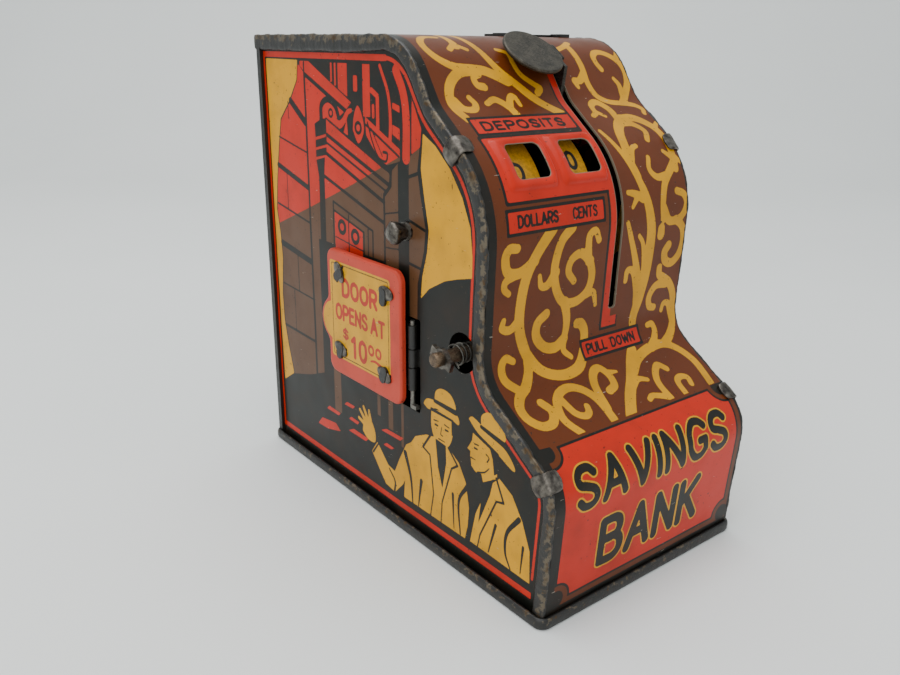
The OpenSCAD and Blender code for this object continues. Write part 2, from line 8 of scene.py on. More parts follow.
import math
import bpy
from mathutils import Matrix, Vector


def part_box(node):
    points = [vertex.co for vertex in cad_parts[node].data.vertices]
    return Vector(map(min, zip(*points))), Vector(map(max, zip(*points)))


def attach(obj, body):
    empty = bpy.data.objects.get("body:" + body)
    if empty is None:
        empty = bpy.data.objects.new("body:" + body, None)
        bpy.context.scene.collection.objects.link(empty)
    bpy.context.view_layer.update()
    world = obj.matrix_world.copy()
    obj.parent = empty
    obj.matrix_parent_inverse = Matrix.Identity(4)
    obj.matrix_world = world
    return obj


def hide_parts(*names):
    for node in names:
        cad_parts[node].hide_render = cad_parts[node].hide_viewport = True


bl_info = {
    "name": "Tin register bank looks",
    "version": (1, 0, 0),
    "blender": (4, 5, 0),
    "location": "View3D > Sidebar > Tin bank",
    "description": "Printed tin sheets, rolled seams, lever, drums and door of a register bank",
    "category": "Object",
}

import bpy
import numpy as np
from bpy.props import FloatProperty, PointerProperty, StringProperty
from mathutils import Matrix, Vector

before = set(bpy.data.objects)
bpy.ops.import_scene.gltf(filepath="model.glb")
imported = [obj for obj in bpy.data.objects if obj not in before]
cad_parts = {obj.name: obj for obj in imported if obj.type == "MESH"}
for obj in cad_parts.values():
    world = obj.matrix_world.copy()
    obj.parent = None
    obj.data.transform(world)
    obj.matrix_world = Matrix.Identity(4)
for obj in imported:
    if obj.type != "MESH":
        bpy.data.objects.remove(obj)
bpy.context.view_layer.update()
MM = 0.001


def corners(node):
    """Lowest and highest corner of a node in millimetres."""
    low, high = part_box(node)
    return np.array(low) / MM, np.array(high) / MM


# ---- Sizes read from the frame -------------------------------------------------------------------
SKIN_LOW, SKIN_HIGH = corners("front_sheet")
EDGE_X, BACK_Y, TOP_Z = SKIN_HIGH
FLOOR_Z = SKIN_LOW[2]
SIDE_X = corners("right_side")[1][0]
AXLE_LOW, AXLE_HIGH = corners("axle")
AXLE_Y, AXLE_Z = ((AXLE_LOW + AXLE_HIGH) / 2)[1:]
CENTS_LOW, CENTS_HIGH = corners("cents_drum")
DOLLARS_LOW = corners("dollars_drum")[0]
DRUM_R = (CENTS_HIGH[2] - CENTS_LOW[2]) / 2
DRUM_W = 9.4
DOOR_LOW, DOOR_HIGH = corners("door_plate")
ROD_LOW, ROD_HIGH = corners("plunger_rod")
PLUNGER_Y, PLUNGER_Z = ((ROD_LOW + ROD_HIGH) / 2)[1:]
PAN_LOW, PAN_HIGH = corners("base_pan")

# The front sheet's run: (length, 0) for a straight, (radius, degrees) for a bend, down is plus
SHOULDER_S = 60.26
FRONT_RUN = [(SHOULDER_S, 0), (16, 56), (6.6, 0), (11.4, -18), (9.8, 0), (25.3, 54), (21.8, 0),
             (10.4, -58), (16.5, 0), (11.8, 59.7), (40, 0)]
WINDOW_W = 9.5
WINDOW_ANGLES = (28.5, 45.5)
WINDOWS_X = (-16.8, -1.1)
SLOT_X = (6.4, 8.6)
SLOT_ANGLES = (-33.4, 86.4)
FAR = 2.5                                 # ink distances are kept exact up to this
CUT_EDGE = 0.16                           # bare tin shows this far round a cut
FIELD_END = 165.5                         # s where the scrollwork stops above the name panel
COIL_R = 2.3                              # middle of the plunger's spring wire


class BankSettings(bpy.types.PropertyGroup):
    """Sizes and ink colours that a user would change."""
    sheet: FloatProperty(name="Sheet", description="Thickness of the tinplate",
                         default=0.5 * MM, unit="LENGTH")
    emboss: FloatProperty(name="Emboss", description="Height of the pressed window frames",
                          default=0.75 * MM, unit="LENGTH")
    key_power: FloatProperty(name="Key light", description="Power of the large overhead softbox",
                             default=6.0, unit="POWER")
    brown: StringProperty(name="Brown ink", description="Ground of the front sheet", default="#5a2809")
    red: StringProperty(name="Red ink", description="Panels and building", default="#b71f06")
    yellow: StringProperty(name="Yellow ink", description="Scrollwork and figures", default="#c99000")
    black: StringProperty(name="Black ink", description="Lettering and side ground", default="#12130f")
    salmon: StringProperty(name="Door red", description="Border of the door", default="#b63a28")


# ---- Curves and fields ---------------------------------------------------------------------------
def skin(s):
    """Points (y, z) and heading of the front sheet at distances s: a straight goes on along its
    heading, a bend turns about a centre one radius away on its inside."""
    s = np.asarray(s, float)
    y, z, h, start = BACK_Y, TOP_Z, 0.0, 0.0
    py, pz, ph = np.full(s.shape, y), np.full(s.shape, z), np.zeros(s.shape)
    for size, turn in FRONT_RUN:
        t = math.radians(turn)
        length = size * abs(t) if turn else size
        part = np.clip(s - start, 0, length)
        here = s >= start
        if turn:
            side = math.copysign(size, t)
            a = h + part * t / length
            qy = y + side * (math.sin(h) - np.sin(a))
            qz = z + side * (np.cos(a) - math.cos(h))
            end = h + t
            y, z = y + side * (math.sin(h) - math.sin(end)), z + side * (math.cos(end) - math.cos(h))
        else:
            a, end = h, h
            qy, qz = y - part * math.cos(h), z - part * math.sin(h)
            y, z = y - size * math.cos(h), z - size * math.sin(h)
        py, pz, ph = np.where(here, qy, py), np.where(here, qz, pz), np.where(here, a, ph)
        h, start = end, start + length
    return py, pz, ph


SKIN_S = np.linspace(0, 230, 2301)
SKIN_Y, SKIN_Z = skin(SKIN_S)[:2]
SKIN_A = np.degrees(np.arctan2(SKIN_Z - AXLE_Z, AXLE_Y - SKIN_Y))
END_S = float(np.interp(-FLOOR_Z, -SKIN_Z, SKIN_S))


def at_angle(a):
    """Distance s at which the front sheet is seen from the axle at angle a above level."""
    front = SKIN_S > SHOULDER_S
    return float(np.interp(-a, -SKIN_A[front], SKIN_S[front]))


WINDOW_S = (at_angle(WINDOW_ANGLES[1]), at_angle(WINDOW_ANGLES[0]))
SLOT_S = (at_angle(SLOT_ANGLES[1]), at_angle(SLOT_ANGLES[0]))


def spline(points, steps=8):
    """Catmull-Rom curve through the points: each span is the cubic whose end slopes are half the
    chord between the neighbours of each end."""
    p = np.array(points, float)
    p = np.vstack([2 * p[0] - p[1], p, 2 * p[-1] - p[-2]])
    t = np.linspace(0, 1, steps, endpoint=False)[None, :, None]
    a, b, c, d = (p[i:len(p) - 3 + i, None] for i in range(4))
    curve = b + 0.5 * t * (c - a + t * (2 * a - 5 * b + 4 * c - d + t * (3 * (b - c) + d - a)))
    return np.vstack([curve.reshape(-1, 2), p[-2]])


def to_segments(q, a, b):
    """Share along, and distance to, each segment a-b from each point q."""
    along = b - a
    t = ((q - a) * along).sum(-1) / np.maximum((along ** 2).sum(-1), 1e-9)
    t = np.clip(t, 0, 1)
    return t, np.hypot(*np.moveaxis(q - a - t[..., None] * along, -1, 0))


def box_distance(q, x0, x1, y0, y1, r=0.0):
    """Signed distance to a box with corner radius r, negative inside."""
    out = np.abs(q - [(x0 + x1) / 2, (y0 + y1) / 2]) - [(x1 - x0) / 2 - r, (y1 - y0) / 2 - r]
    return np.hypot(*np.maximum(out, 0).T) + np.minimum(out.max(-1), 0) - r


def area_distance(q, outline):
    """Signed distance to a closed outline, negative inside by the even-odd rule."""
    a = np.array(outline, float)
    b = np.roll(a, -1, 0)
    d = to_segments(q[:, None], a, b)[1].min(1)
    x, y = q[:, :1], q[:, 1:]
    span = (a[:, 1] > y) != (b[:, 1] > y)
    rise = np.where(b[:, 1] == a[:, 1], 1, b[:, 1] - a[:, 1])
    hits = span & (x < a[:, 0] + (y - a[:, 1]) * (b[:, 0] - a[:, 0]) / rise)
    return np.where(hits.sum(1) % 2 == 1, -d, d)


def shape_distance(q, kind, *values):
    """Signed distance from points q to one printed shape."""
    if kind == "box":
        return box_distance(q, *values)
    if kind == "area":
        return area_distance(q, values[0])
    if kind == "blob":
        return area_distance(q, spline(values[0] + values[0][:1], 5)[:-1])
    if kind == "ring":
        (x, y, r), w = values
        return np.abs(np.hypot(q[:, 0] - x, q[:, 1] - y) - r) - w / 2
    w0, w1, points = values
    c = spline(points) if kind == "curve" else np.array(points, float)
    r = np.interp(np.linspace(0, 1, len(c)), [0, 1], [w0 / 2, w1 / 2])
    t, d = to_segments(q[:, None], c[:-1], c[1:])
    return (d - r[:-1] - t * (r[1:] - r[:-1])).min(1)


def extent(kind, *values):
    """Lowest and highest corner of a shape's own points, widened by its stroke."""
    if kind == "box":
        return np.array([values[0], values[2]]), np.array([values[1], values[3]])
    if kind == "ring":
        x, y, r = values[0]
        return np.array([x - r, y - r]), np.array([x + r, y + r])
    points = np.array(values[-1] if kind in ("curve", "line") else values[0], float)
    return points.min(0), points.max(0)


def ink(points, shapes):
    """Signed distance, up to FAR, from each point to the nearest of the shapes."""
    field = np.full(len(points), FAR)
    for shape in shapes:
        low, high = extent(*shape)
        near = ((points > low - FAR - 2) & (points < high + FAR + 2)).all(1)
        if near.any():
            field[near] = np.minimum(field[near], shape_distance(points[near], *shape))
    return field


def ripple(u, v, seed=0.0):
    """Smooth unevenness between about -1 and 1: four sine waves of unrelated pitch in u and v."""
    return (np.sin(0.61 * u + 1.3 * v + seed) + np.sin(1.37 * u - 0.7 * v + 2.1 * seed)
            + np.sin(0.23 * u + 2.9 * v + 3.7 * seed) + np.sin(2.3 * u + 0.4 * v + 5.3 * seed)) / 4


# ---- Lettering -----------------------------------------------------------------------------------
# Each glyph: its width, then strokes in a cell one unit high. Tuples are straight, lists are curves.
LOOP = [(.35, 1), (.08, .85), (0, .5), (.08, .15), (.35, 0), (.62, .15), (.7, .5), (.62, .85), (.35, 1)]
OPEN = [(.62, .82), (.45, .98), (.2, .98), (.02, .75), (0, .5), (.02, .25), (.2, .02), (.45, .02),
        (.62, .18)]
BOWL = [(0, 1), (.4, 1), (.58, .86), (.58, .6), (.4, .46), (0, .46)]
SNAKE = [(.54, .82), (.4, .97), (.16, .97), (.02, .82), (.05, .62), (.28, .52), (.5, .4), (.56, .2),
         (.42, .03), (.16, .03), (0, .18)]
POST = ((0, 0), (0, 1))
SIX = [(.42, .95), (.2, .85), (.04, .55), (.02, .25), (.14, .03), (.34, .02), (.48, .18), (.46, .4),
       (.3, .52), (.12, .48), (.03, .32)]
GLYPHS = {
    "A": (.7, ((0, 0), (.35, 1), (.7, 0)), ((.13, .34), (.57, .34))),
    "B": (.62, POST, [(0, 1), (.38, 1), (.55, .88), (.55, .66), (.38, .54), (0, .54)],
          [(0, .54), (.42, .54), (.62, .4), (.62, .15), (.42, 0), (0, 0)]),
    "C": (.62, OPEN),
    "D": (.64, POST, [(0, 1), (.35, 1), (.6, .8), (.64, .5), (.6, .2), (.35, 0), (0, 0)]),
    "E": (.5, ((.5, 1), (0, 1), (0, 0), (.5, 0)), ((0, .52), (.42, .52))),
    "G": (.62, OPEN, ((.62, .18), (.62, .45), (.4, .45))),
    "I": (.0, POST),
    "K": (.62, POST, ((.58, 1), (0, .42)), ((.2, .6), (.62, 0))),
    "L": (.48, ((0, 1), (0, 0), (.48, 0))),
    "N": (.62, ((0, 0), (0, 1), (.62, 0), (.62, 1))),
    "O": (.7, LOOP),
    "P": (.58, POST, BOWL),
    "R": (.6, POST, BOWL, ((.3, .46), (.6, 0))),
    "S": (.56, SNAKE),
    "T": (.6, ((0, 1), (.6, 1)), ((.3, 1), (.3, 0))),
    "U": (.62, [(0, 1), (0, .6), (0, .3), (.1, .06), (.31, 0), (.52, .06), (.62, .3), (.62, .6), (.62, 1)]),
    "V": (.66, ((0, 1), (.33, 0), (.66, 1))),
    "W": (.95, ((0, 1), (.22, 0), (.475, .8), (.73, 0), (.95, 1))),
    "$": (.56, SNAKE, ((.28, 1.14), (.28, -.14))),
    " ": (.3,),
    "0": (.5, [(x * .714, y) for x, y in LOOP]),
    "1": (.3, ((0, .8), (.2, 1), (.2, 0))),
    "2": (.5, [(.02, .78), (.12, .95), (.3, 1), (.48, .88), (.48, .68), (.3, .42), (.02, .02)],
          ((.02, .02), (.52, .02))),
    "3": (.5, [(.03, .88), (.2, 1), (.42, .93), (.46, .74), (.36, .58), (.2, .54)],
          [(.2, .54), (.42, .46), (.5, .24), (.38, .04), (.16, 0), (0, .12)]),
    "4": (.54, ((.4, 0), (.4, 1), (0, .32), (.54, .32))),
    "5": (.5, ((.46, 1), (.08, 1), (.05, .56)),
          [(.05, .56), (.24, .62), (.44, .52), (.5, .3), (.38, .05), (.18, 0), (0, .1)]),
    "6": (.5, SIX),
    "7": (.5, ((0, 1), (.5, 1), (.16, 0))),
    "8": (.5, [(.25, 1), (.06, .9), (.06, .64), (.25, .53), (.46, .4), (.48, .14), (.25, 0), (.03, .14),
               (.05, .4), (.25, .53), (.44, .64), (.44, .9), (.25, 1)]),
    "9": (.5, [(.5 - x, 1 - y) for x, y in SIX]),
}


def lettering(text, x0, x1, base, height, w, down=False, rise=0.0):
    """Strokes of a word from x0 to x1 on a base line; down flips it where the second value grows
    downwards, and rise lifts the line's far end."""
    gap = 0.3
    width = sum(GLYPHS[c][0] + gap for c in text) - gap
    shapes, at, up = [], 0.0, -1 if down else 1
    scale = (x1 - x0) / width
    for c in text:
        for stroke in GLYPHS[c][1:]:
            run = [(x0 + scale * (at + gx), base + up * (height * gy + rise * (at + gx) / width))
                   for gx, gy in stroke]
            shapes.append(("curve" if isinstance(stroke, list) else "line", w, w, run))
        at += GLYPHS[c][0] + gap
    return shapes


def widened(shapes, by):
    """The same strokes, wider by a constant."""
    return [(kind, w0 + by, w1 + by, run) for kind, w0, w1, run in shapes]


def vine(*runs):
    """Scroll strokes: each run is (first width, last width, points)."""
    return [("curve", w0, w1, list(points)) for w0, w1, *points in runs]


# ---- Front print, in (x, s) ----------------------------------------------------------------------
UPPER_VINES = vine(
    (1.4, 2.8, (-15, 62), (-13, 70), (-10.7, 75.5), (-6, 80.5), (-1.5, 85), (2.5, 88.6)),
    (1.2, 2.4, (-19, 62), (-18.5, 67), (-18.7, 69)),
    (1.5, 1.2, (-21, 70.2), (-18.7, 68.6), (-16.2, 70.2)),
    (1.4, 2.6, (-21, 64.5), (-24.5, 64.5), (-27, 67), (-27.5, 70), (-26, 73), (-22.5, 75.2), (-18, 75.8),
     (-14, 76.5), (-9, 79)),
    (2.4, 2.2, (-17, 76.2), (-22, 76.8), (-25.5, 79.5), (-27, 83), (-26.8, 86), (-25.5, 89)),
    (2.2, 1.4, (-26, 83.5), (-24.5, 85.7), (-22, 86), (-20.8, 84.5), (-21.7, 82.8)),
    (1.4, 2.0, (-16.5, 77.3), (-18.3, 78), (-18, 79.8), (-16.3, 80.3)),
    (2.2, 2.2, (-11, 89), (-11.8, 85.5)),
    (2.2, 1.4, (-11.8, 86), (-13, 84.5), (-15, 83.5), (-17.5, 84.5)),
    (2.0, 1.2, (-11.5, 85.6), (-9.8, 83), (-8.5, 83.3), (-8.2, 85.3)),
    (1.2, 1.8, (-7.5, 70.2), (-5, 71.5), (-5, 74.5), (-4, 77.5), (-1, 80), (0.3, 81), (-1, 82.2)),
)
RIGHT_VINES = vine(
    (1.4, 1.6, (12.5, 70), (15.4, 68.8), (18.3, 67)),
    (2.0, 1.4, (16.8, 69), (17, 76), (16.8, 80), (18, 83.5), (21, 85.5), (25, 86.2), (29, 87),
     (31, 88.5), (30.5, 90)),
    (2.2, 1.2, (16.6, 77.6), (14.4, 79.3), (12.5, 79.3), (13, 81)),
    (1.6, 2.2, (23.7, 76.3), (22.8, 74.5), (23, 72.5), (25, 71), (28, 71.5), (31, 74), (32, 77),
     (31, 80.5), (28.5, 83.5), (26, 86)),
    (1.8, 1.0, (31, 73.5), (32.3, 71.2)),
    (2.0, 1.2, (27.2, 85), (27.8, 81), (26.8, 79)),
    (2.4, 1.3, (19.5, 92), (19, 88), (16.5, 85.5), (14, 86.5), (13.5, 89), (12, 90)),
    (1.4, 1.0, (13.6, 88.4), (16, 90.3)),
    (1.2, 3.8, (10.3, 95), (12.5, 101), (14, 105), (15.5, 109), (17, 113), (18.3, 117.5), (19.3, 122),
     (19.2, 128), (18.4, 133)),
    (3.8, 2.2, (18.4, 133), (17.3, 138), (16, 142), (15.4, 146)),
    (3.0, 2.4, (21, 91.5), (18, 93.5), (16, 96.5), (15, 100), (14.2, 103.5), (15.3, 108)),
    (1.8, 1.2, (15, 104), (16.8, 101), (18.8, 100.2)),
    (2.6, 2.2, (20, 91.6), (24, 91.3), (27, 92.5), (29.5, 95), (30.5, 98.5), (30.3, 103), (29.6, 107)),
    (1.8, 1.0, (29.6, 95.5), (32, 93.5)),
    (1.8, 1.0, (30.4, 103.8), (32.6, 106)),
    (1.8, 1.2, (29.8, 104.4), (27.3, 102.4)),
    (1.9, 1.6, (19.4, 93), (23, 93.5), (25.3, 96), (24, 98.8)),
    (2.4, 1.8, (30.2, 105), (26, 108.5), (24, 111), (23, 115), (23.2, 119)),
    (2.4, 2.6, (22.9, 121), (23, 122.6)),
    (1.3, 1.9, (21, 103.6), (20, 106.5), (22, 108.6), (25.8, 108.4)),
    (1.2, 2.4, (10.8, 111.3), (13, 111.8), (15.8, 113)),
    (1.8, 1.0, (14, 112.4), (12, 114.8)),
    (1.8, 2.2, (28.5, 112.5), (31, 113.5), (32, 116), (30, 119), (25.6, 119.4), (23.2, 116)),
    (2.0, 2.4, (28, 119.3), (31, 121.5), (32, 125), (31, 128.5), (28.5, 130.3), (26, 129.5),
     (25.3, 127.3), (26.5, 125.7)),
    (1.2, 2.6, (10.3, 118.2), (12, 122), (14, 126.5), (15.6, 131), (16.9, 136)),
    (1.4, 2.2, (11.6, 132.4), (12, 129.9), (14.2, 130.6), (15.8, 135), (16.4, 139)),
    (1.0, 1.8, (14.9, 121.8), (16.6, 124), (17.6, 128), (18, 132)),
)
LOWER_VINES = vine(
    (2.8, 2.8, (-14, 116.5), (-18, 121), (-21, 126), (-22.3, 132), (-22.2, 138), (-20, 144)),
    (2.8, 2.4, (-20, 144), (-16.5, 148.8), (-11.5, 151), (-6, 150.3), (-2.5, 147), (-1.3, 143),
     (-2.5, 140.5), (-4, 140)),
    (2.6, 2.0, (-19, 123), (-23, 125), (-26.5, 124.5), (-27.5, 121.5), (-26.5, 119.5), (-24.3, 119.6)),
    (2.0, 1.4, (-24, 125.3), (-27, 126.3), (-27.3, 128), (-26, 129.2)),
    (2.4, 1.4, (-22.3, 135.6), (-25, 137.4), (-27.3, 136.7), (-27, 135)),
    (2.4, 2.2, (-19.7, 144.6), (-20.5, 148), (-23, 151), (-26, 152.8), (-28, 155.5), (-27.8, 158.5),
     (-25.5, 161), (-22.5, 161), (-20.8, 158.5), (-22, 155.8)),
    (2.4, 1.6, (-25, 151.6), (-27.5, 148.5), (-27.5, 145.5), (-26, 143.8), (-24, 144.8)),
    (2.4, 2.2, (-8, 117), (-11, 119.5), (-12.5, 123.5), (-12.7, 127), (-11.5, 131), (-9, 134),
     (-5, 134.5), (-1.5, 132.5), (-0.5, 129), (-1.5, 125.5)),
    (2.4, 1.7, (-1.5, 125.5), (-4.5, 123.3), (-7.5, 124.3), (-8.3, 127), (-6.3, 129.5)),
    (2.2, 1.6, (-2, 125.5), (-2.5, 121.5), (-2.3, 119.4), (-0.5, 118.7), (0.8, 121)),
    (2.2, 1.1, (-2.4, 133.4), (0.5, 133.3), (1.6, 136.5)),
    (2.6, 1.1, (-12.4, 126.6), (-14.5, 129), (-16.5, 129), (-17.2, 126.6)),
    (2.6, 1.4, (-8.8, 134), (-7.8, 137), (-7.5, 140), (-8, 143), (-8.5, 145.5), (-6.8, 147.4)),
    (2.4, 2.4, (-8, 142.8), (-11, 144.3), (-14.5, 143.5), (-17, 140.5), (-16.8, 137.5), (-14.4, 135.8)),
    (2.0, 2.4, (-17, 166), (-19.3, 161.5), (-18.5, 157.5), (-16, 155), (-12.5, 154.3), (-9.5, 155.7),
     (-7.5, 158.5), (-6.8, 162), (-6.8, 167)),
    (2.0, 1.6, (-16.6, 156.6), (-15.5, 160.5), (-13.5, 162), (-11.8, 161.5), (-11.2, 160)),
    (2.2, 2.0, (-6.3, 162), (-5.2, 156), (-3, 152.7), (-0.5, 152), (0.8, 154.5), (0.2, 157.3),
     (-2.3, 158.3)),
    (1.8, 0.8, (0.4, 153.6), (3.6, 154.2)),
    (3.0, 2.6, (-2.5, 167), (2, 161.5), (6, 157.5), (9.5, 153.5), (13, 149.8)),
    (2.2, 1.2, (5, 159), (8, 157.8), (10.7, 158.7)),
    (2.6, 2.2, (8.5, 155.5), (12, 153), (16, 151.5), (20, 150.8), (24, 151), (27, 153), (29, 156.5),
     (29.5, 160), (28.6, 167)),
    (2.2, 1.4, (19, 151.2), (22, 149), (23.3, 147), (22.8, 145.3), (21, 145.3)),
    (2.4, 2.0, (24.5, 151), (28, 149.2), (30.5, 146.5), (31.3, 142.5), (30.5, 138.5), (28.5, 135.5),
     (26, 133.8), (24.3, 132.8), (24, 131)),
    (1.9, 1.3, (30.6, 145.5), (29.5, 141.5), (27.5, 140.8), (26.8, 142.5)),
    (2.2, 1.8, (27.5, 135.6), (23.5, 135.5), (21.3, 138), (21.8, 140.5), (23.6, 141.2)),
    (2.0, 1.8, (13.5, 167), (13, 161), (14.5, 157.8), (17, 156), (18.8, 157.6)),
    (1.8, 1.4, (13.4, 165), (11, 163.8), (8.5, 163), (7, 163.6)),
    (1.8, 1.6, (18.7, 166.8), (19, 162), (21, 160.8), (23, 161.6), (22.7, 163.5)),
)
LABELS = [("box", -25.3, 4, 89, 93.2, 0), ("box", -26.5, 2, 112, 116.3, 0), ("box", -2.5, 17, 145, 148.7, 0)]
LABEL_WORDS = (lettering("DEPOSITS", -23, 1, 92.3, 2.3, 0.7, down=True)
               + lettering("DOLLARS", -23.8, -12.4, 115.25, 2.3, 0.56, down=True)
               + lettering("CENTS", -7.6, -0.2, 115.25, 2.3, 0.5, down=True)
               + lettering("PULL DOWN", -1.2, 15.2, 147.9, 2.1, 0.54, down=True))
REGISTER = ("box", -26, 6, 94.7, 110, 0.6)
SLOT_STRIP = [("line", 2.6, 2.6, [(5.6, 78), (6.2, 95)]), ("box", 4.5, 7.2, 94, 142.7, 0),
              ("box", 4.8, 9.6, 140.4, 142.7, 0)]
SLOT_LINE = [("line", 0.5, 0.5, [(4.1, 80), (4.6, 93.6), (4.6, 94.2)]), ("box", 3.7, 4.3, 110, 143.3, 0),
             ("box", 3.7, 9.8, 142.8, 143.4, 0), ("box", 9.4, 9.8, 140.4, 143.4, 0)]
PANEL_NOTCH = 4.2                         # radius of the name panel's hollow corners
PANEL = ("box", -29.4, 29.8, 166.8, 202, 0)
NAME = (lettering("SAVINGS", -25, 25.5, 181, 8.6, 1.9, down=True)
        + lettering("BANK", -16.5, 17, 197.6, 10.4, 2.3, down=True))


def framed(shapes, by):
    """Boxes grown by a constant on every side."""
    return [("box", x0 - by, x1 + by, y0 - by, y1 + by, r) for _, x0, x1, y0, y1, r in shapes]


def hollow_corners(q, field, by=0.0):
    """The name panel's field with a round bite taken out of each corner."""
    _, x0, x1, y0, y1, _ = PANEL
    bites = np.min([np.hypot(q[:, 0] - x, q[:, 1] - y) for x in (x0, x1) for y in (y0, y1)], 0)
    return np.maximum(field, PANEL_NOTCH - by - bites)


def front_inks(q):
    """Distances of the four inks at (x, s) points of the front sheet."""
    panel = hollow_corners(q, np.minimum(box_distance(q, *PANEL[1:]), FAR))
    edge = hollow_corners(q, box_distance(q, *framed([PANEL], 0.6)[0][1:]), 0.6)
    rule = hollow_corners(q, box_distance(q, *framed([PANEL], 1.9)[0][1:]), 1.9)
    red = np.minimum(ink(q, LABELS + [REGISTER] + SLOT_STRIP), panel)
    words = ink(q, LABEL_WORDS + SLOT_LINE)
    rings = ink(q, framed(LABELS, 0.7) + framed([REGISTER], 0.7))
    rings = np.maximum(rings, -ink(q, LABELS + [REGISTER] + SLOT_STRIP))
    name = ink(q, NAME)
    below = q[:, 1] - FIELD_END
    brown = np.maximum(np.abs(q[:, 0] - 1.6) - 31.6, np.where(below > 0, rule, -FAR))
    yellow = np.maximum(ink(q, UPPER_VINES + RIGHT_VINES + LOWER_VINES), below)
    yellow = np.maximum(yellow, -ink(q, framed(LABELS, 0.65) + framed([REGISTER], 0.65)))
    yellow = np.minimum(yellow, ink(q, widened(NAME, 0.75)))
    frame_line = np.maximum(edge, -panel)
    black = np.minimum.reduce([words, rings, name, frame_line])
    return {"ink_brown": brown, "ink_red": red, "ink_yellow": yellow, "ink_black": black}


# ---- Side print, in (d, z) -----------------------------------------------------------------------
SHADE_LINE = [(5, 68.7), (24, 76.2), (46, 85.2), (74, 97.4)]
PILLAR = [(21, 112.6), (20.4, 108.6), (16, 103), (10.4, 98), (8.5, 90.5), (6.6, 81.8), (5.4, 73),
          (6.6, 66.8), (7.3, 59), (6, 48), (6.3, 40.5), (7.9, 33), (10.4, 24.3), (20, 27), (23.7, 28.4),
          (23.7, 110.6)]
BUILDING = [
    ("area", PILLAR),
    ("area", [(24.6, 28.8), (24.6, 109.4), (42.8, 102), (40.2, 100.6), (34, 99.4), (28.3, 98.2),
              (28.3, 30.2)]),
    ("area", [(22, 113.3), (26.4, 113.3), (46.2, 104.4), (44, 102.8), (24.6, 110.6), (22, 112.2)]),
    ("area", [(28.4, 68.5), (28.4, 98), (34.3, 99.6), (58.6, 90.6), (62, 89.6), (61.8, 86.8), (59.2, 84.6),
              (59.2, 68.5)]),
    ("area", [(59.8, 68.5), (59.8, 84), (62.6, 86.6), (62.8, 90.4), (65.4, 92.4), (65.4, 57), (63, 57)]),
    ("area", [(69.4, 57), (69.4, 94), (73.4, 96.6), (72.6, 91.6), (73.8, 86), (75.6, 79), (75, 74),
              (72.6, 66), (72.4, 57)]),
    ("area", [(52, 101.6), (66, 95.4), (66, 92.8), (61, 91.4), (57.6, 92.4), (52.4, 97.4)]),
    ("box", 33.6, 37.2, 20.8, 35, 0), ("box", 55, 56.4, 27, 34, 0), ("box", 60, 62, 25, 34, 0),
    ("box", 65.6, 66.6, 22, 34, 0),
]
RED_SIGHTS = [
    ("box", 37, 37.8, 108.8, 113.2, 0), ("box", 38.8, 39.6, 108, 113.2, 0),
    ("area", [(40.5, 113.2), (44.6, 113.2), (44.6, 105.6), (40.5, 107.4)]),
    ("box", 51.3, 54.3, 101.6, 113.2, 0), ("box", 47.3, 49, 107, 110.6, 0.4),
    ("line", 1.3, 1.3, [(54.9, 107.6), (57.3, 106.4), (57.3, 99.4)]), ("box", 55, 56, 101.4, 104.6, 0.3),
    ("curve", 0.9, 1.2, [(58.4, 113), (61.5, 107.4), (62.4, 102), (62.2, 97)]),
    ("curve", 2.4, 2.8, [(64.6, 112.2), (67.4, 107.6), (68.5, 102), (68.4, 93.8)]),
    ("area", [(63.2, 105.4), (66, 104.8), (66, 103.3), (63.2, 104.1)]),
    ("area", [(63.2, 100.6), (66, 99.9), (66, 97.3), (63.2, 98.5)]),
    ("area", [(70.6, 106.6), (74, 100.6), (73.6, 96.6), (70.4, 94.8)]),
    ("blob", [(34.5, 100.6), (34.8, 103), (36.8, 103.4), (38.4, 102), (38.2, 100), (36.2, 99.2)]),
    ("curve", 2.2, 1.0, [(37.6, 99.8), (40.4, 98.9), (42.6, 100), (44.4, 102), (46, 102.6)]),
    ("area", [(42.4, 97.2), (44.4, 96.6), (44, 100.4)]),
    ("blob", [(46.6, 98.2), (47.3, 101.6), (49, 103.9), (50.8, 101.6), (51.4, 98.2), (49, 95.2)]),
    ("area", [(36.8, 77), (49.8, 73.8), (49.8, 67), (36.8, 67)]),
    ("area", [(23.6, 13), (26, 15.6), (33.6, 16.6), (36.2, 15), (29, 13.2)]),
    ("area", [(29, 19.6), (30.4, 20.8), (36.4, 20.6), (35.4, 19.6)]),
    ("area", [(38.6, 24.2), (40, 25.3), (44, 25.3), (42.8, 24.3)]),
    ("area", [(40.6, 20.6), (42, 21.6), (46, 21.4), (45, 20.4)]),
    ("area", [(40.4, 17), (43, 18.4), (50.4, 18.2), (49, 17)]),
    ("area", [(56.4, 23.2), (59, 24.4), (66.4, 24.6), (65, 23.4)]),
    ("area", [(57.4, 19.4), (59, 20.4), (62.4, 20.2), (61, 19.4)]),
]
PILLAR_JOINTS = [(16.2, 103.2, 23.6, 98.2, 1.9), (8.6, 93.4, 23.6, 90.6, 0.5), (7.4, 85.6, 23.6, 81.4, 1.5),
                 (6, 74.8, 23.6, 72, 0.6), (7.2, 63.6, 23.6, 61.2, 1.8), (6.6, 51.6, 23.6, 50.6, 0.5),
                 (6.4, 38.8, 23.6, 38.2, 0.8)]
COLUMN_JOINTS = [(67, 89, 73, 91, 0.8), (67, 80.6, 76, 78.6, 0.7), (67, 70.4, 74.6, 69.6, 0.7),
                 (59.4, 80, 66, 81.4, 0.4), (59.4, 72, 66, 72.6, 0.4)]
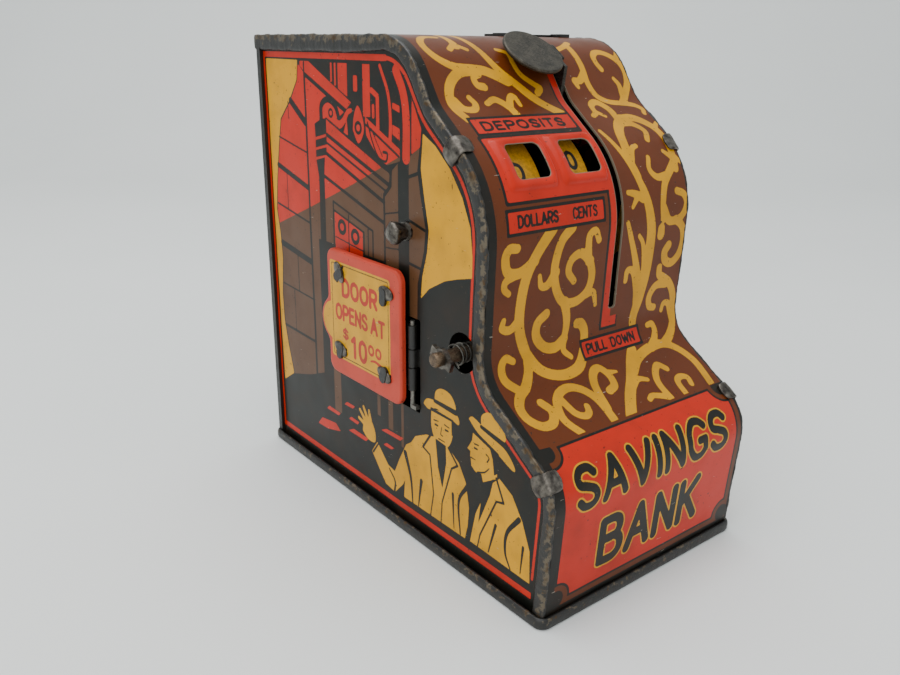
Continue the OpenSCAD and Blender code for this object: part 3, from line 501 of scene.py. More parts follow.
# Sloping mouldings and cornices as d, z, d, z and width
CORNICES = [(34.4, 96, 61.8, 86.9, 1.0), (34.2, 94, 60.6, 85.3, 0.6), (34, 91.3, 59.4, 82.7, 1.0),
            (32.4, 85.5, 59.2, 77.8, 0.9), (34.2, 100, 58, 91.2, 0.5), (24.5, 110.1, 43.6, 102.4, 0.6),
            (52.2, 99.8, 65.6, 93.8, 0.6), (65.4, 92.6, 65.4, 57, 0.5)]
BUILDING_LINES = (
    [("line", w, w, [(d0, z0), (d1, z1)]) for d0, z0, d1, z1, w in PILLAR_JOINTS + COLUMN_JOINTS]
    + [("line", w, w, [(d0, z0), (d1, z1)]) for d0, z0, d1, z1, w in CORNICES]
    + [("area", [(28.4, 98.3), (31.6, 99.6), (34.2, 100), (34.2, 96.2), (28.6, 94.9)]),
       ("area", [(28.6, 94.2), (34.2, 95.5), (34.2, 93.6), (28.6, 92.3)]),
       ("area", [(28.6, 91.7), (34, 92.9), (34, 91), (28.6, 89.9)]),
       ("area", [(28.6, 89.2), (33, 90.3), (32.4, 85.6), (32.2, 68), (29.4, 68), (29.6, 85)]),
       ("line", 0.7, 0.7, [(24, 28), (24, 113)]),
       ("curve", 1.7, 1.5, [(31.8, 99.4), (32.2, 103), (35.4, 104.6), (38.8, 103.2), (40.2, 100.8)]),
       ("curve", 0.5, 0.7, [(53, 100.4), (55, 96), (57.4, 92.8), (60.4, 92.2), (61, 94), (59.4, 94.2)]),
       ("curve", 0.4, 0.4, [(54.6, 99), (57, 95.8), (59, 93.2)]),
       ("line", 0.7, 0.7, [(61, 90.4), (62.2, 89.6), (61.9, 86.7), (59.4, 84.5), (59.5, 68)]),
       ("line", 0.4, 0.4, [(14.6, 103), (14.6, 98.6)]), ("line", 0.4, 0.4, [(12, 85), (12, 74)]),
       ("line", 0.4, 0.4, [(16, 61.8), (16, 51)]), ("line", 0.4, 0.4, [(13, 50.6), (13, 39)]),
       ("line", 0.6, 0.6, [(36.2, 68), (36.2, 79.6), (54.4, 75), (54.4, 68)]),
       ("line", 0.6, 0.6, [(50.4, 68), (50.4, 74)]), ("line", 0.5, 0.5, [(52.3, 68), (52.3, 75.4)]),
       ("line", 0.5, 0.5, [(36.4, 77.4), (50.4, 74)]),
       ("ring", (40.2, 73.6, 1.5), 1.1), ("ring", (46.4, 72.2, 1.5), 1.1),
       ("line", 0.4, 0.4, [(37, 70.6), (50, 69.2)]), ("line", 0.5, 0.5, [(43.4, 67), (43.4, 77)]),
       ("ring", (36.6, 101.4, 0.9), 0.6), ("ring", (49, 98.8, 1.2), 0.8),
       ("curve", 0.4, 0.4, [(46.3, 98.2), (47, 101.8), (49, 104.2), (51, 101.8), (51.7, 98.2), (49, 94.9),
                            (46.3, 98.2)])])
STREET_YELLOW = [
    ("area", [(3.5, 113.6), (20.8, 113.5), (20, 108.6), (15.6, 103.3), (10, 98.2), (8.1, 90.5), (6.2, 81.8),
              (5.0, 73), (6.2, 66.8), (6.9, 59), (5.6, 48), (5.9, 40.5), (7.5, 33), (10, 24.3), (4, 20.5),
              (3.5, 60)]),
    ("area", [(74.6, 99.6), (79, 97.4), (84, 93.2), (88.2, 87.8), (91, 82), (91.8, 76), (91.8, 71.4),
              (87, 70.2), (82.6, 68.8), (77, 65.8), (73.8, 62.8), (74.4, 68), (76.2, 74), (76.8, 79),
              (75.2, 86), (73.9, 92)]),
]
MEN = [
    # First man: hat, face, coat, raised sleeve and hand
    ("blob", [(79.2, 39), (79.6, 41.8), (82, 43.2), (85.4, 42.6), (87, 39.6), (83, 38.9)]),
    ("blob", [(74.8, 37.2), (76.6, 39), (82, 39.4), (87.4, 38.6), (88.2, 36.4), (85, 37), (80, 37.6),
              (77, 36.4)]),
    ("blob", [(78, 36.8), (78, 32.6), (79.4, 29.6), (82, 28.4), (84.6, 29.6), (86, 32.6), (85.8, 36.4),
              (82, 37.4)]),
    ("area", [(71.5, 27.2), (76, 29.4), (79.4, 30), (84, 29.6), (88.4, 27), (91, 23), (92.3, 17),
              (91.8, 8.4), (66.6, 8.2), (67.2, 14), (67.6, 22)]),
    ("area", [(52, 15.4), (55.4, 11.6), (58.4, 8.4), (62.6, 7.8), (66.2, 11.6), (69, 17), (70.6, 25.4),
              (67.6, 23.4), (64.6, 18), (62.6, 13.8), (59.6, 14.4), (54.6, 19)]),
    ("blob", [(47.6, 19.8), (50, 18.2), (53.4, 18.4), (53.6, 21.4), (51.4, 24.4), (48.6, 23.8)]),
    ("line", 1.2, 0.9, [(48.6, 22), (45.8, 22.8)]), ("line", 1.3, 0.9, [(49, 23), (46.4, 25.4)]),
    ("line", 1.3, 0.9, [(50, 24), (48.2, 26.8)]), ("line", 1.3, 0.8, [(51.4, 24), (50.8, 26.6)]),
    # Second man: hat, face in profile, coat
    ("blob", [(96, 38.8), (96, 41.6), (98.6, 43.2), (102, 42), (104, 38.6), (100, 37.4)]),
    ("blob", [(91.6, 39.4), (93.4, 40.2), (99, 38), (104, 36.4), (107, 33.6), (106.4, 32.6), (101, 34.8),
              (95, 37)]),
    ("area", [(93.3, 37), (93, 34.6), (92.2, 33.2), (91.4, 32), (92.5, 31.7), (92.4, 30.6), (92.7, 29.6),
              (92.9, 28.2), (94.4, 27.2), (96.4, 27.6), (97, 25.8), (101.6, 28.6), (101.6, 34.4),
              (97.6, 35.8)]),
    ("area", [(92.4, 8.6), (93.4, 14), (95, 19), (97.4, 24.4), (102.4, 29), (106.6, 26.8), (110, 22),
              (112.6, 16), (113, 8.2)]),
]
COAT_LINES = [
    ("line", 1.0, 1.4, [(79.2, 39.3), (87, 39)]), ("line", 1.0, 1.4, [(96, 38.9), (103.9, 37.4)]),
    ("area", [(79.6, 29.8), (83.6, 29.4), (83.8, 25), (82.4, 17.6), (80.6, 22.6)]),
    ("line", 0.7, 0.4, [(77.6, 29.8), (74.6, 25.6), (77.4, 24.6), (79, 14.6), (77.8, 8.2)]),
    ("line", 0.7, 0.4, [(84.6, 29.2), (88, 26), (85.8, 24.4), (82.4, 14), (82, 8.2)]),
    ("curve", 1.5, 0.5, [(67.2, 21), (69.6, 15), (70.4, 8)]), ("line", 1.2, 0.4, [(74, 16), (72.8, 8.4)]),
    ("curve", 1.2, 0.5, [(91.4, 22), (88.6, 17), (89.4, 8.6)]), ("line", 0.9, 0.3, [(86.4, 18), (87, 9)]),
    ("line", 0.7, 0.5, [(52.6, 15.4), (55.2, 18.8)]),
    ("curve", 0.5, 0.8, [(60, 13.6), (62.6, 11), (62.4, 8)]),
    ("line", 1.8, 1.2, [(92, 8.4), (94, 17), (97.6, 24.6)]),
    ("area", [(97.6, 25.6), (100.6, 28.2), (99.4, 23.6), (95.6, 14.4), (96.4, 20.4)]),
    ("line", 0.7, 0.4, [(101.4, 28.6), (104, 23.6), (101.6, 23), (96.4, 12), (95.6, 8.4)]),
    ("curve", 1.3, 0.5, [(109, 22), (105.4, 17), (105, 12), (106.8, 8.4)]),
    ("line", 0.9, 0.4, [(101.6, 17), (99.4, 9)]), ("line", 0.8, 0.3, [(110.6, 16), (110, 9)]),
]
# Plain faces on half-height eye lines: brows, eyes, nose, mouth, and hair under the hats
FACE_LINES = [
    ("line", 0.4, 0.3, [(79, 34.4), (80.8, 34.6)]), ("line", 0.4, 0.3, [(83, 34.6), (84.8, 34.4)]),
    ("line", 0.6, 0.5, [(79.5, 33.4), (80.5, 33.4)]), ("line", 0.6, 0.5, [(83.4, 33.4), (84.4, 33.4)]),
    ("line", 0.3, 0.4, [(82, 33.6), (81.6, 31.6), (82.4, 31.4)]),
    ("line", 0.4, 0.3, [(80.8, 30.2), (83.2, 30.2)]),
    ("line", 0.9, 0.6, [(78, 36.8), (86, 36.6)]), ("line", 0.9, 0.4, [(86, 36.4), (85.9, 33)]),
    ("line", 0.4, 0.4, [(93.8, 34), (95.2, 34.1)]), ("line", 0.6, 0.4, [(93.9, 33), (94.9, 33)]),
    ("line", 0.4, 0.3, [(92.6, 30.2), (94.2, 30.2)]), ("line", 1.0, 0.8, [(93.2, 37), (101.6, 34.4)]),
    ("area", [(98.6, 35.6), (101.8, 34.4), (102, 30), (100.6, 29), (100, 32.6)]),
    ("curve", 0.4, 0.4, [(97.8, 33), (98.8, 32.4), (98.2, 31.2)]),
    ("curve", 0.5, 0.3, [(95, 27.4), (97.4, 28.4), (99, 30)]),
]
BORDER_IN = 4.9                           # how far the red rule follows inside the front curve


def side_inks(q):
    """Distances of the four inks at (d, z) points of a side panel."""
    rule_s = np.linspace(SHOULDER_S - 1, END_S - 9, 90)
    y, z, h = skin(rule_s)
    inset = np.stack([BACK_Y - y - BORDER_IN * np.sin(h), z - BORDER_IN * np.cos(h)], 1)
    building = ink(q, BUILDING)
    shade = area_distance(q, SHADE_LINE + [(80, 120), (0, 120)])
    red = np.minimum(np.maximum(building, shade), ink(q, RED_SIGHTS))
    rules = [("line", 0.9, 0.7, [tuple(p) for p in inset]), ("box", 1.4, 2.9, 4.8, 115.4, 0),
             ("box", 1.4, 61, 114, 115.4, 0), ("box", 1.4, 113.6, 4.6, 6.2, 0)]
    red = np.minimum(red, ink(q, rules))
    yellow = ink(q, STREET_YELLOW + MEN)
    black = ink(q, BUILDING_LINES + COAT_LINES + FACE_LINES)
    return {"ink_brown": building, "ink_red": red, "ink_yellow": yellow, "ink_black": black,
            "ink_bare": np.full(len(q), FAR)}


# ---- Meshes --------------------------------------------------------------------------------------
def grid_quads(rows, columns, closed_rows=False, closed_columns=False):
    """Corner numbers of the quads of a grid stored row by row, wrapping round where it is closed."""
    i = np.arange(rows if closed_rows else rows - 1)[:, None]
    j = np.arange(columns if closed_columns else columns - 1)[None]
    up, right = (i + 1) % rows, (j + 1) % columns
    quads = [i * columns + j, i * columns + right, up * columns + right, up * columns + j]
    return np.stack([np.broadcast_to(q, (len(i), j.shape[1])) for q in quads], -1).reshape(-1, 4)


def build(name, points, *face_sets, marks=None):
    """Makes a mesh object from points in millimetres and arrays of quads or triangles, with one
    float attribute for each mark. Open borders are kept as sharp edges."""
    me = bpy.data.meshes.new(name)
    sizes = np.concatenate([np.full(len(f), f.shape[1]) for f in face_sets])
    corner = np.concatenate([f.ravel() for f in face_sets])
    me.vertices.add(len(points))
    me.vertices.foreach_set("co", (np.asarray(points, float) * MM).ravel())
    me.loops.add(len(corner))
    me.loops.foreach_set("vertex_index", corner.astype(np.int32))
    me.polygons.add(len(sizes))
    me.polygons.foreach_set("loop_start", np.concatenate([[0], np.cumsum(sizes)[:-1]]).astype(np.int32))
    me.polygons.foreach_set("use_smooth", np.ones(len(sizes), bool))
    me.update(calc_edges=True)
    for mark, values in (marks or {}).items():
        me.attributes.new(mark, "FLOAT", "POINT").data.foreach_set("value", np.asarray(values, np.float32))
    edge_of = np.zeros(len(me.loops), np.int32)
    me.loops.foreach_get("edge_index", edge_of)
    border = np.bincount(edge_of, minlength=len(me.edges)) == 1
    me.edges.foreach_set("use_edge_sharp", border)
    obj = bpy.data.objects.new(name, me)
    bpy.context.scene.collection.objects.link(obj)
    return obj


def cut_grid(u_lines, v_lines, hole):
    """A grid of (u, v) points whose faces inside hole(points) < 0 are left out, with the points on
    the cut moved along the distance's slope on to its zero line. Returns points and quads."""
    v, u = np.meshgrid(v_lines, u_lines, indexing="ij")
    q = np.stack([u.ravel(), v.ravel()], 1)
    quads = grid_quads(len(v_lines), len(u_lines))
    d = hole(q)
    inside = d[quads].mean(1) < 0
    touch = np.zeros((2, len(q)), bool)
    for side, chosen in enumerate((inside, ~inside)):
        touch[side, quads[chosen].ravel()] = True
    rim = touch.all(0)
    for _ in range(3):
        p = q[rim]
        step = 1e-3
        slope = np.stack([hole(p + [step, 0]) - hole(p - [step, 0]),
                          hole(p + [0, step]) - hole(p - [0, step])], 1) / (2 * step)
        q[rim] = p - (hole(p) / np.maximum((slope ** 2).sum(1), 0.25))[:, None] * slope
    quads = quads[~inside]
    used, renumbered = np.unique(quads, return_inverse=True)
    return q[used], renumbered.reshape(-1, 4)


def lines(low, high, cell):
    """Evenly spaced grid lines at most one cell apart."""
    return np.linspace(low, high, max(2, math.ceil((high - low) / cell) + 1))


def thicken(obj, thickness, offset=-1.0):
    """Gives an outward-facing sheet its thickness, to the inside by default."""
    wall = obj.modifiers.new("Thickness", "SOLIDIFY")
    wall.thickness = thickness
    wall.offset = offset
    wall.use_quality_normals = True
    return obj


def finish_piece(obj, material, body, slot, *replaced):
    """Gives a piece its material and body and hides the frame nodes it stands for; slot is not used."""
    obj.data.materials.append(material)
    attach(obj, body)
    if replaced:
        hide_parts(*replaced)
    return obj


def repaint(node, material):
    """Gives a frame node that keeps its own shape one material in place of its plain one."""
    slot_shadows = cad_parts[node].data.materials
    slot_shadows.clear()
    slot_shadows.append(material)


def ring_sweep(centres, across, out, profile_u, profile_v):
    """Points of a closed profile carried along a path: centre + u across + v out, for each station
    (rows) and each profile point (columns)."""
    return (centres[:, None] + profile_u[..., None] * across[:, None]
            + profile_v[..., None] * out[:, None]).reshape(-1, 3)


def cap_fans(rows, columns, points, flip=False):
    """Closes both ends of a tube stored row by row with a fan round each end's middle."""
    ring = np.arange(columns)
    first, last = ring, ring + (rows - 1) * columns
    middle = [points[first].mean(0), points[last].mean(0)]
    n = len(points)
    a = np.stack([np.full(columns, n), np.roll(first, -1), first], 1)
    b = np.stack([np.full(columns, n + 1), last, np.roll(last, -1)], 1)
    fans = np.vstack([a, b])
    return np.vstack([points, middle]), fans[:, ::-1] if flip else fans


def tube(name, centres, across, out, u, v, closed=False, flip=False, marks=None):
    """A closed profile along a path, capped at its ends unless the path is closed."""
    rows, columns = len(centres), u.shape[-1]
    u, v = (np.broadcast_to(a, (rows, columns)) for a in (u, v))
    points = ring_sweep(centres, across, out, u, v)
    quads = grid_quads(rows, columns, closed, True)
    marks = {k: np.broadcast_to(a, (rows, columns)).ravel() for k, a in (marks or {}).items()}
    if flip:
        quads = quads[:, ::-1]
    if closed:
        return build(name, points, quads, marks=marks)
    points, fans = cap_fans(rows, columns, points, flip)
    marks = {k: np.concatenate([a, [a[0], a[-1]]]) for k, a in marks.items()}
    return build(name, points, quads, fans, marks=marks)


def revolve(name, stations, radii, centre, axis, marks=None, wobble=0.0, seed=0.0, turns=64):
    """A round piece: radius as a function of the place along an axis, closed by its end poles;
    wobble adds hammer marks to the radius."""
    axis = np.array(axis, float)
    side = np.cross(axis, [0.0, 0.0, 1.0] if abs(axis[2]) < 0.9 else [1.0, 0.0, 0.0])
    side /= np.linalg.norm(side)
    up = np.cross(axis, side)
    a = np.linspace(0, 2 * math.pi, turns, endpoint=False)
    stations, radii = np.array(stations, float), np.array(radii, float)
    uneven = 1 + wobble * ripple(3 * np.cos(a)[None] + stations[:, None], 3 * np.sin(a)[None], seed)
    r = radii[:, None] * uneven
    centres = np.array(centre, float) + stations[:, None] * axis
    marks = {k: np.broadcast_to(np.asarray(m, float)[:, None], r.shape) for k, m in (marks or {}).items()}
    return tube(name, centres, np.tile(side, (len(r), 1)), np.tile(up, (len(r), 1)),
                r * np.cos(a), r * np.sin(a), marks=marks)


def superellipse(half_u, half_v, power, count=24):
    """Closed outline |u/a|^n + |v/b|^n = 1: a rounded bead's section."""
    a = np.linspace(0, 2 * math.pi, count, endpoint=False)
    c, s = np.cos(a), np.sin(a)
    return half_u * np.sign(c) * np.abs(c) ** (2 / power), half_v * np.sign(s) * np.abs(s) ** (2 / power)


# ---- Finishes ------------------------------------------------------------------------------------
def linear(code):
    """Linear colour of an sRGB hex code."""
    values = [int(code[i:i + 2], 16) / 255 for i in (1, 3, 5)]
    return tuple(c / 12.92 if c <= 0.04045 else ((c + 0.055) / 1.055) ** 2.4 for c in values) + (1.0,)


def per_metre(size_mm):
    """Texture scale whose pattern repeats about once in size_mm."""
    return 1 / (size_mm * MM)


def add(tree, kind, inputs=None, out=0, **settings):
    """Adds one node with its settings; inputs are values or sockets. Returns one of its outputs."""
    node = tree.nodes.new(kind)
    for name, value in settings.items():
        setattr(node, name, value)
    for name, value in (inputs or {}).items():
        if isinstance(value, bpy.types.NodeSocket):
            tree.links.new(value, node.inputs[name])
        else:
            node.inputs[name].default_value = value
    return node.outputs[out]


def start_finish(name, roughness, metallic=0.0):
    """A new material with one shader; returns it with its tree, its shader and object coordinates."""
    mat = bpy.data.materials.new(name)
    mat.use_nodes = True
    tree = mat.node_tree
    shader = next(n for n in tree.nodes if n.type == "BSDF_PRINCIPLED")
    shader.inputs["Roughness"].default_value = roughness
    shader.inputs["Metallic"].default_value = metallic
    return mat, tree, shader, add(tree, "ShaderNodeTexCoord", out="Object")


def specks(tree, place, size_mm, share, stretch=(1, 1, 1), soft=0.05):
    """Share of cover of scattered specks or, when stretched, of scratches."""
    drawn = add(tree, "ShaderNodeMapping", {"Vector": place, "Scale": stretch})
    noise = add(tree, "ShaderNodeTexNoise", {"Vector": drawn, "Scale": per_metre(size_mm), "Detail": 3.0,
                                             "Roughness": 0.6})
    return add(tree, "ShaderNodeMapRange", {"Value": noise, "From Min": share, "From Max": share + soft})


def printed_tin(name, ground, inks):
    """Tinplate printed by offset lithography and varnished: flat inks with slightly ragged edges,
    a soft gloss, age specks down to dark oxide, and hair scratches down to grey tin."""
    mat, tree, shader, place = start_finish(name, 0.34)
    shader.inputs["IOR"].default_value = 1.3
    ragged = add(tree, "ShaderNodeTexNoise", {"Vector": place, "Scale": per_metre(0.45), "Detail": 2.0})
    colour = linear(ground)
    for mark, code in inks + [("ink_bare", "#6f6656")]:
        distance = add(tree, "ShaderNodeAttribute", out="Fac", attribute_name=mark)
        edge = add(tree, "ShaderNodeMath", {0: ragged, 1: 0.16, 2: distance}, operation="MULTIPLY_ADD")
        cover = add(tree, "ShaderNodeMapRange", {"Value": edge, "From Min": 0.13, "From Max": 0.03})
        colour = add(tree, "ShaderNodeMix", {0: cover, 6: colour, 7: linear(code)}, out=2,
                     data_type="RGBA")
    age = add(tree, "ShaderNodeTexNoise", {"Vector": place, "Scale": per_metre(7), "Detail": 5.0})
    grime = add(tree, "ShaderNodeMapRange", {"Value": age, "From Min": 0.45, "From Max": 0.8, "To Max": 0.3})
    colour = add(tree, "ShaderNodeMix", {0: grime, 6: colour, 7: linear("#3a2413")}, out=2, data_type="RGBA")
    spots = specks(tree, place, 0.9, 0.665)
    colour = add(tree, "ShaderNodeMix", {0: spots, 6: colour, 7: linear("#2b2118")}, out=2, data_type="RGBA")
    hairs = specks(tree, place, 3.2, 0.72, (1.0, 1.0, 9.0), 0.03)
    colour = add(tree, "ShaderNodeMix", {0: hairs, 6: colour, 7: linear("#a39a8b")}, out=2,
                 data_type="RGBA", clamp_factor=True)
    tree.links.new(colour, shader.inputs["Base Color"])
    gloss = add(tree, "ShaderNodeMapRange", {"Value": age, "To Min": 0.26, "To Max": 0.46})
    tree.links.new(gloss, shader.inputs["Roughness"])
    waves = add(tree, "ShaderNodeTexNoise", {"Vector": place, "Scale": per_metre(11), "Detail": 1.0})
    bump = add(tree, "ShaderNodeBump", {"Height": waves, "Strength": 0.35, "Distance": 0.5 * MM})
    tree.links.new(bump, shader.inputs["Normal"])
    return mat


def black_lacquer(name, bare=0.76, metal="#645b4d"):
    """Baked black lacquer over rolled tinplate: rubbed through to grey metal and a little rust,
    most of all where the mark 'ridge' is high."""
    mat, tree, shader, place = start_finish(name, 0.42)
    ridge = add(tree, "ShaderNodeAttribute", out="Fac", attribute_name="ridge")
    rub = add(tree, "ShaderNodeTexNoise", {"Vector": place, "Scale": per_metre(1.6), "Detail": 6.0,
                                           "Roughness": 0.65})
    raised = add(tree, "ShaderNodeMath", {0: ridge, 1: 0.22, 2: rub}, operation="MULTIPLY_ADD")
    worn = add(tree, "ShaderNodeMapRange", {"Value": raised, "From Min": bare, "From Max": bare + 0.07})
    tint = add(tree, "ShaderNodeTexNoise", {"Vector": place, "Scale": per_metre(2.4), "Detail": 4.0})
    rust = add(tree, "ShaderNodeMapRange", {"Value": tint, "From Min": 0.48, "From Max": 0.62})
    steel = add(tree, "ShaderNodeMix", {0: rust, 6: linear(metal), 7: linear("#4b3a26")}, out=2,
                data_type="RGBA")
    paint = add(tree, "ShaderNodeMix", {0: tint, 6: linear("#060605"), 7: linear("#171510")}, out=2,
                data_type="RGBA")
    colour = add(tree, "ShaderNodeMix", {0: worn, 6: paint, 7: steel}, out=2, data_type="RGBA")
    tree.links.new(colour, shader.inputs["Base Color"])
    shine = add(tree, "ShaderNodeMath", {0: worn, 1: 0.75}, operation="MULTIPLY")
    tree.links.new(shine, shader.inputs["Metallic"])
    gloss = add(tree, "ShaderNodeMapRange", {"Value": rub, "To Min": 0.28, "To Max": 0.6})
    tree.links.new(gloss, shader.inputs["Roughness"])
    bump = add(tree, "ShaderNodeBump", {"Height": rub, "Strength": 0.5, "Distance": 0.25 * MM})
    tree.links.new(bump, shader.inputs["Normal"])
    return mat


def old_steel(name, dark, light, roughness, stretch=(1, 1, 6), marks_mm=0.5, depth=0.05):
    """Cold-rolled steel gone dull: a dark oxide skin with fine handling scratches of lighter metal."""
    mat, tree, shader, place = start_finish(name, roughness, metallic=0.85)
    skin_noise = add(tree, "ShaderNodeTexNoise", {"Vector": place, "Scale": per_metre(2.2), "Detail": 6.0,
                                                  "Roughness": 0.7})
    drawn = add(tree, "ShaderNodeMapping", {"Vector": place, "Scale": stretch, "Rotation": (0.5, 0.3, 0.7)})
    lines_noise = add(tree, "ShaderNodeTexNoise", {"Vector": drawn, "Scale": per_metre(marks_mm),
                                                   "Detail": 3.0})
    both = add(tree, "ShaderNodeMath", {0: skin_noise, 1: lines_noise}, operation="MULTIPLY")
    share = add(tree, "ShaderNodeMapRange", {"Value": both, "From Min": 0.14, "From Max": 0.42})
    colour = add(tree, "ShaderNodeMix", {0: share, 6: linear(dark), 7: linear(light)}, out=2,
                 data_type="RGBA")
    tree.links.new(colour, shader.inputs["Base Color"])
    gloss = add(tree, "ShaderNodeMapRange", {"Value": skin_noise, "To Min": roughness - 0.12,
                                             "To Max": roughness + 0.14})
    tree.links.new(gloss, shader.inputs["Roughness"])
    bump = add(tree, "ShaderNodeBump", {"Height": lines_noise, "Strength": 0.3, "Distance": depth * MM})
    tree.links.new(bump, shader.inputs["Normal"])
    return mat


def number_enamel(name):
    """Yellow enamel on the number drums, stippled with age, with black numbers."""
    settings = bpy.context.scene.bank
    mat, tree, shader, place = start_finish(name, 0.5)
    stipple = add(tree, "ShaderNodeTexNoise", {"Vector": place, "Scale": per_metre(0.8), "Detail": 5.0,
                                               "Roughness": 0.75})
    dirt = add(tree, "ShaderNodeMapRange", {"Value": stipple, "From Min": 0.42, "From Max": 0.75,
                                            "To Max": 0.75})
    colour = add(tree, "ShaderNodeMix", {0: dirt, 6: linear(settings.yellow), 7: linear("#5d4308")}, out=2,
                 data_type="RGBA")
    distance = add(tree, "ShaderNodeAttribute", out="Fac", attribute_name="ink_black")
    cover = add(tree, "ShaderNodeMapRange", {"Value": distance, "From Min": 0.06, "From Max": -0.04})
    colour = add(tree, "ShaderNodeMix", {0: cover, 6: colour, 7: linear("#12110e")}, out=2, data_type="RGBA")
    tree.links.new(colour, shader.inputs["Base Color"])
    return mat


def stored(name, make, *values, **options):
    """The material of that name, made once."""
    return bpy.data.materials.get(name) or make(name, *values, **options)


def sheet_print():
    s = bpy.context.scene.bank
    return stored("varnished_litho_tinplate", printed_tin, s.black,
                  [("ink_brown", s.brown), ("ink_red", s.red), ("ink_yellow", s.yellow),
                   ("ink_black", s.black)])


def side_print():
    s = bpy.context.scene.bank
    return stored("varnished_litho_side", printed_tin, s.black,
                  [("ink_brown", "#533722"), ("ink_red", s.red), ("ink_yellow", s.yellow),
                   ("ink_black", s.black)])


def door_print():
    s = bpy.context.scene.bank
    return stored("varnished_litho_door", printed_tin, s.salmon,
                  [("ink_brown", s.salmon), ("ink_yellow", "#c8920c"), ("ink_red", "#a82a16"),
                   ("ink_black", s.black)])


def seam_black():
    return stored("worn_black_lacquer", black_lacquer)


def dark_steel():
    return stored("oxidised_cold_rolled_steel", old_steel, "#1b1917", "#56524b", 0.5)


def bright_tin():
    return stored("dull_tinplate", old_steel, "#5c5953", "#8f8c85", 0.42)


def hammered_steel():
    return stored("hammered_steel", old_steel, "#2b2724", "#7c766d", 0.34, (1, 1, 1), 1.4, 0.4)


# ---- Operators -----------------------------------------------------------------------------------
class BANK_OT_front_sheet(bpy.types.Operator):
    """Front sheet: a strip from the back edge over the top and down the front, printed, with the
    lever slot, two windows in pressed frames and the coin slot"""
    bl_idname = "bank.front_sheet"
    bl_label = "Front sheet"

    # Each piece of the sheet: name, first and last s, cell size
    PIECES = [("sheet_top", 0, SHOULDER_S, 1.2), ("sheet_shoulder", SHOULDER_S, 94, 0.3),
              ("sheet_register", 94, 111, 0.24), ("sheet_apron", 111, 152, 0.3),
              ("sheet_name_panel", 152, END_S, 0.3)]

    @staticmethod
    def window_boxes():
        return [(x - WINDOW_W / 2, x + WINDOW_W / 2) + WINDOW_S for x in WINDOWS_X]

    @classmethod
    def holes(cls, q):
        """Distance to the lever slot, the windows and the coin slot, negative in the hole."""
        low, high = corners("coin_chute")
        coin = (low[0] - 0.1, high[0] + 0.1, BACK_Y - high[1] - 0.1, BACK_Y - high[1] + 3.8, 0.2)
        boxes = [(x0, x1, s0, s1, 1.3) for x0, x1, s0, s1 in cls.window_boxes()]
        boxes += [SLOT_X + SLOT_S + (0.6,), coin]
        return np.min([box_distance(q, *b) for b in boxes], 0)

    @classmethod
    def relief(cls, q):
        """Height over the skin: round each window a frame rises from its outer line to a ridge and
        slopes back to the window's edge; the whole sheet has slight dents."""
        height = 0.05 * ripple(q[:, 0] * 0.16, q[:, 1] * 0.13)
        for x0, x1, s0, s1 in cls.window_boxes():
            inner = np.maximum(box_distance(q, x0, x1, s0, s1, 1.3), 0)
            outer = -box_distance(q, x0 - 3.1, x1 + 1.6, s0 - 2, s1 + 2.4, 1.2)
            share = np.clip(outer, 0, None) / np.maximum(inner + np.clip(outer, 0, None), 1e-6)
            rise = np.sin(np.clip(share / 0.42, 0, 1) * math.pi / 2)
            fall = 0.35 + 0.65 * np.cos(np.clip((share - 0.42) / 0.58, 0, 1) * math.pi / 2)
            height += bpy.context.scene.bank.emboss / MM * np.where(outer > 0, rise * fall, 0)
        return height

    def execute(self, context):
        for name, s0, s1, cell in self.PIECES:
            half = SIDE_X + 0.2
            q, quads = cut_grid(lines(-half, half, cell), lines(s0, s1, cell), self.holes)
            y, z, h = skin(q[:, 1])
            height = self.relief(q) if s0 >= SHOULDER_S else np.zeros(len(q))
            points = np.stack([q[:, 0], y - np.sin(h) * height, z + np.cos(h) * height], 1)
            marks = front_inks(q)
            marks["ink_bare"] = np.minimum(self.holes(q) - CUT_EDGE, FAR)
            obj = build(name, points, quads[:, ::-1], marks=marks)
            thicken(obj, context.scene.bank.sheet)
            finish_piece(obj, sheet_print(), "case", "printed_tin", "front_sheet")
        return {"FINISHED"}


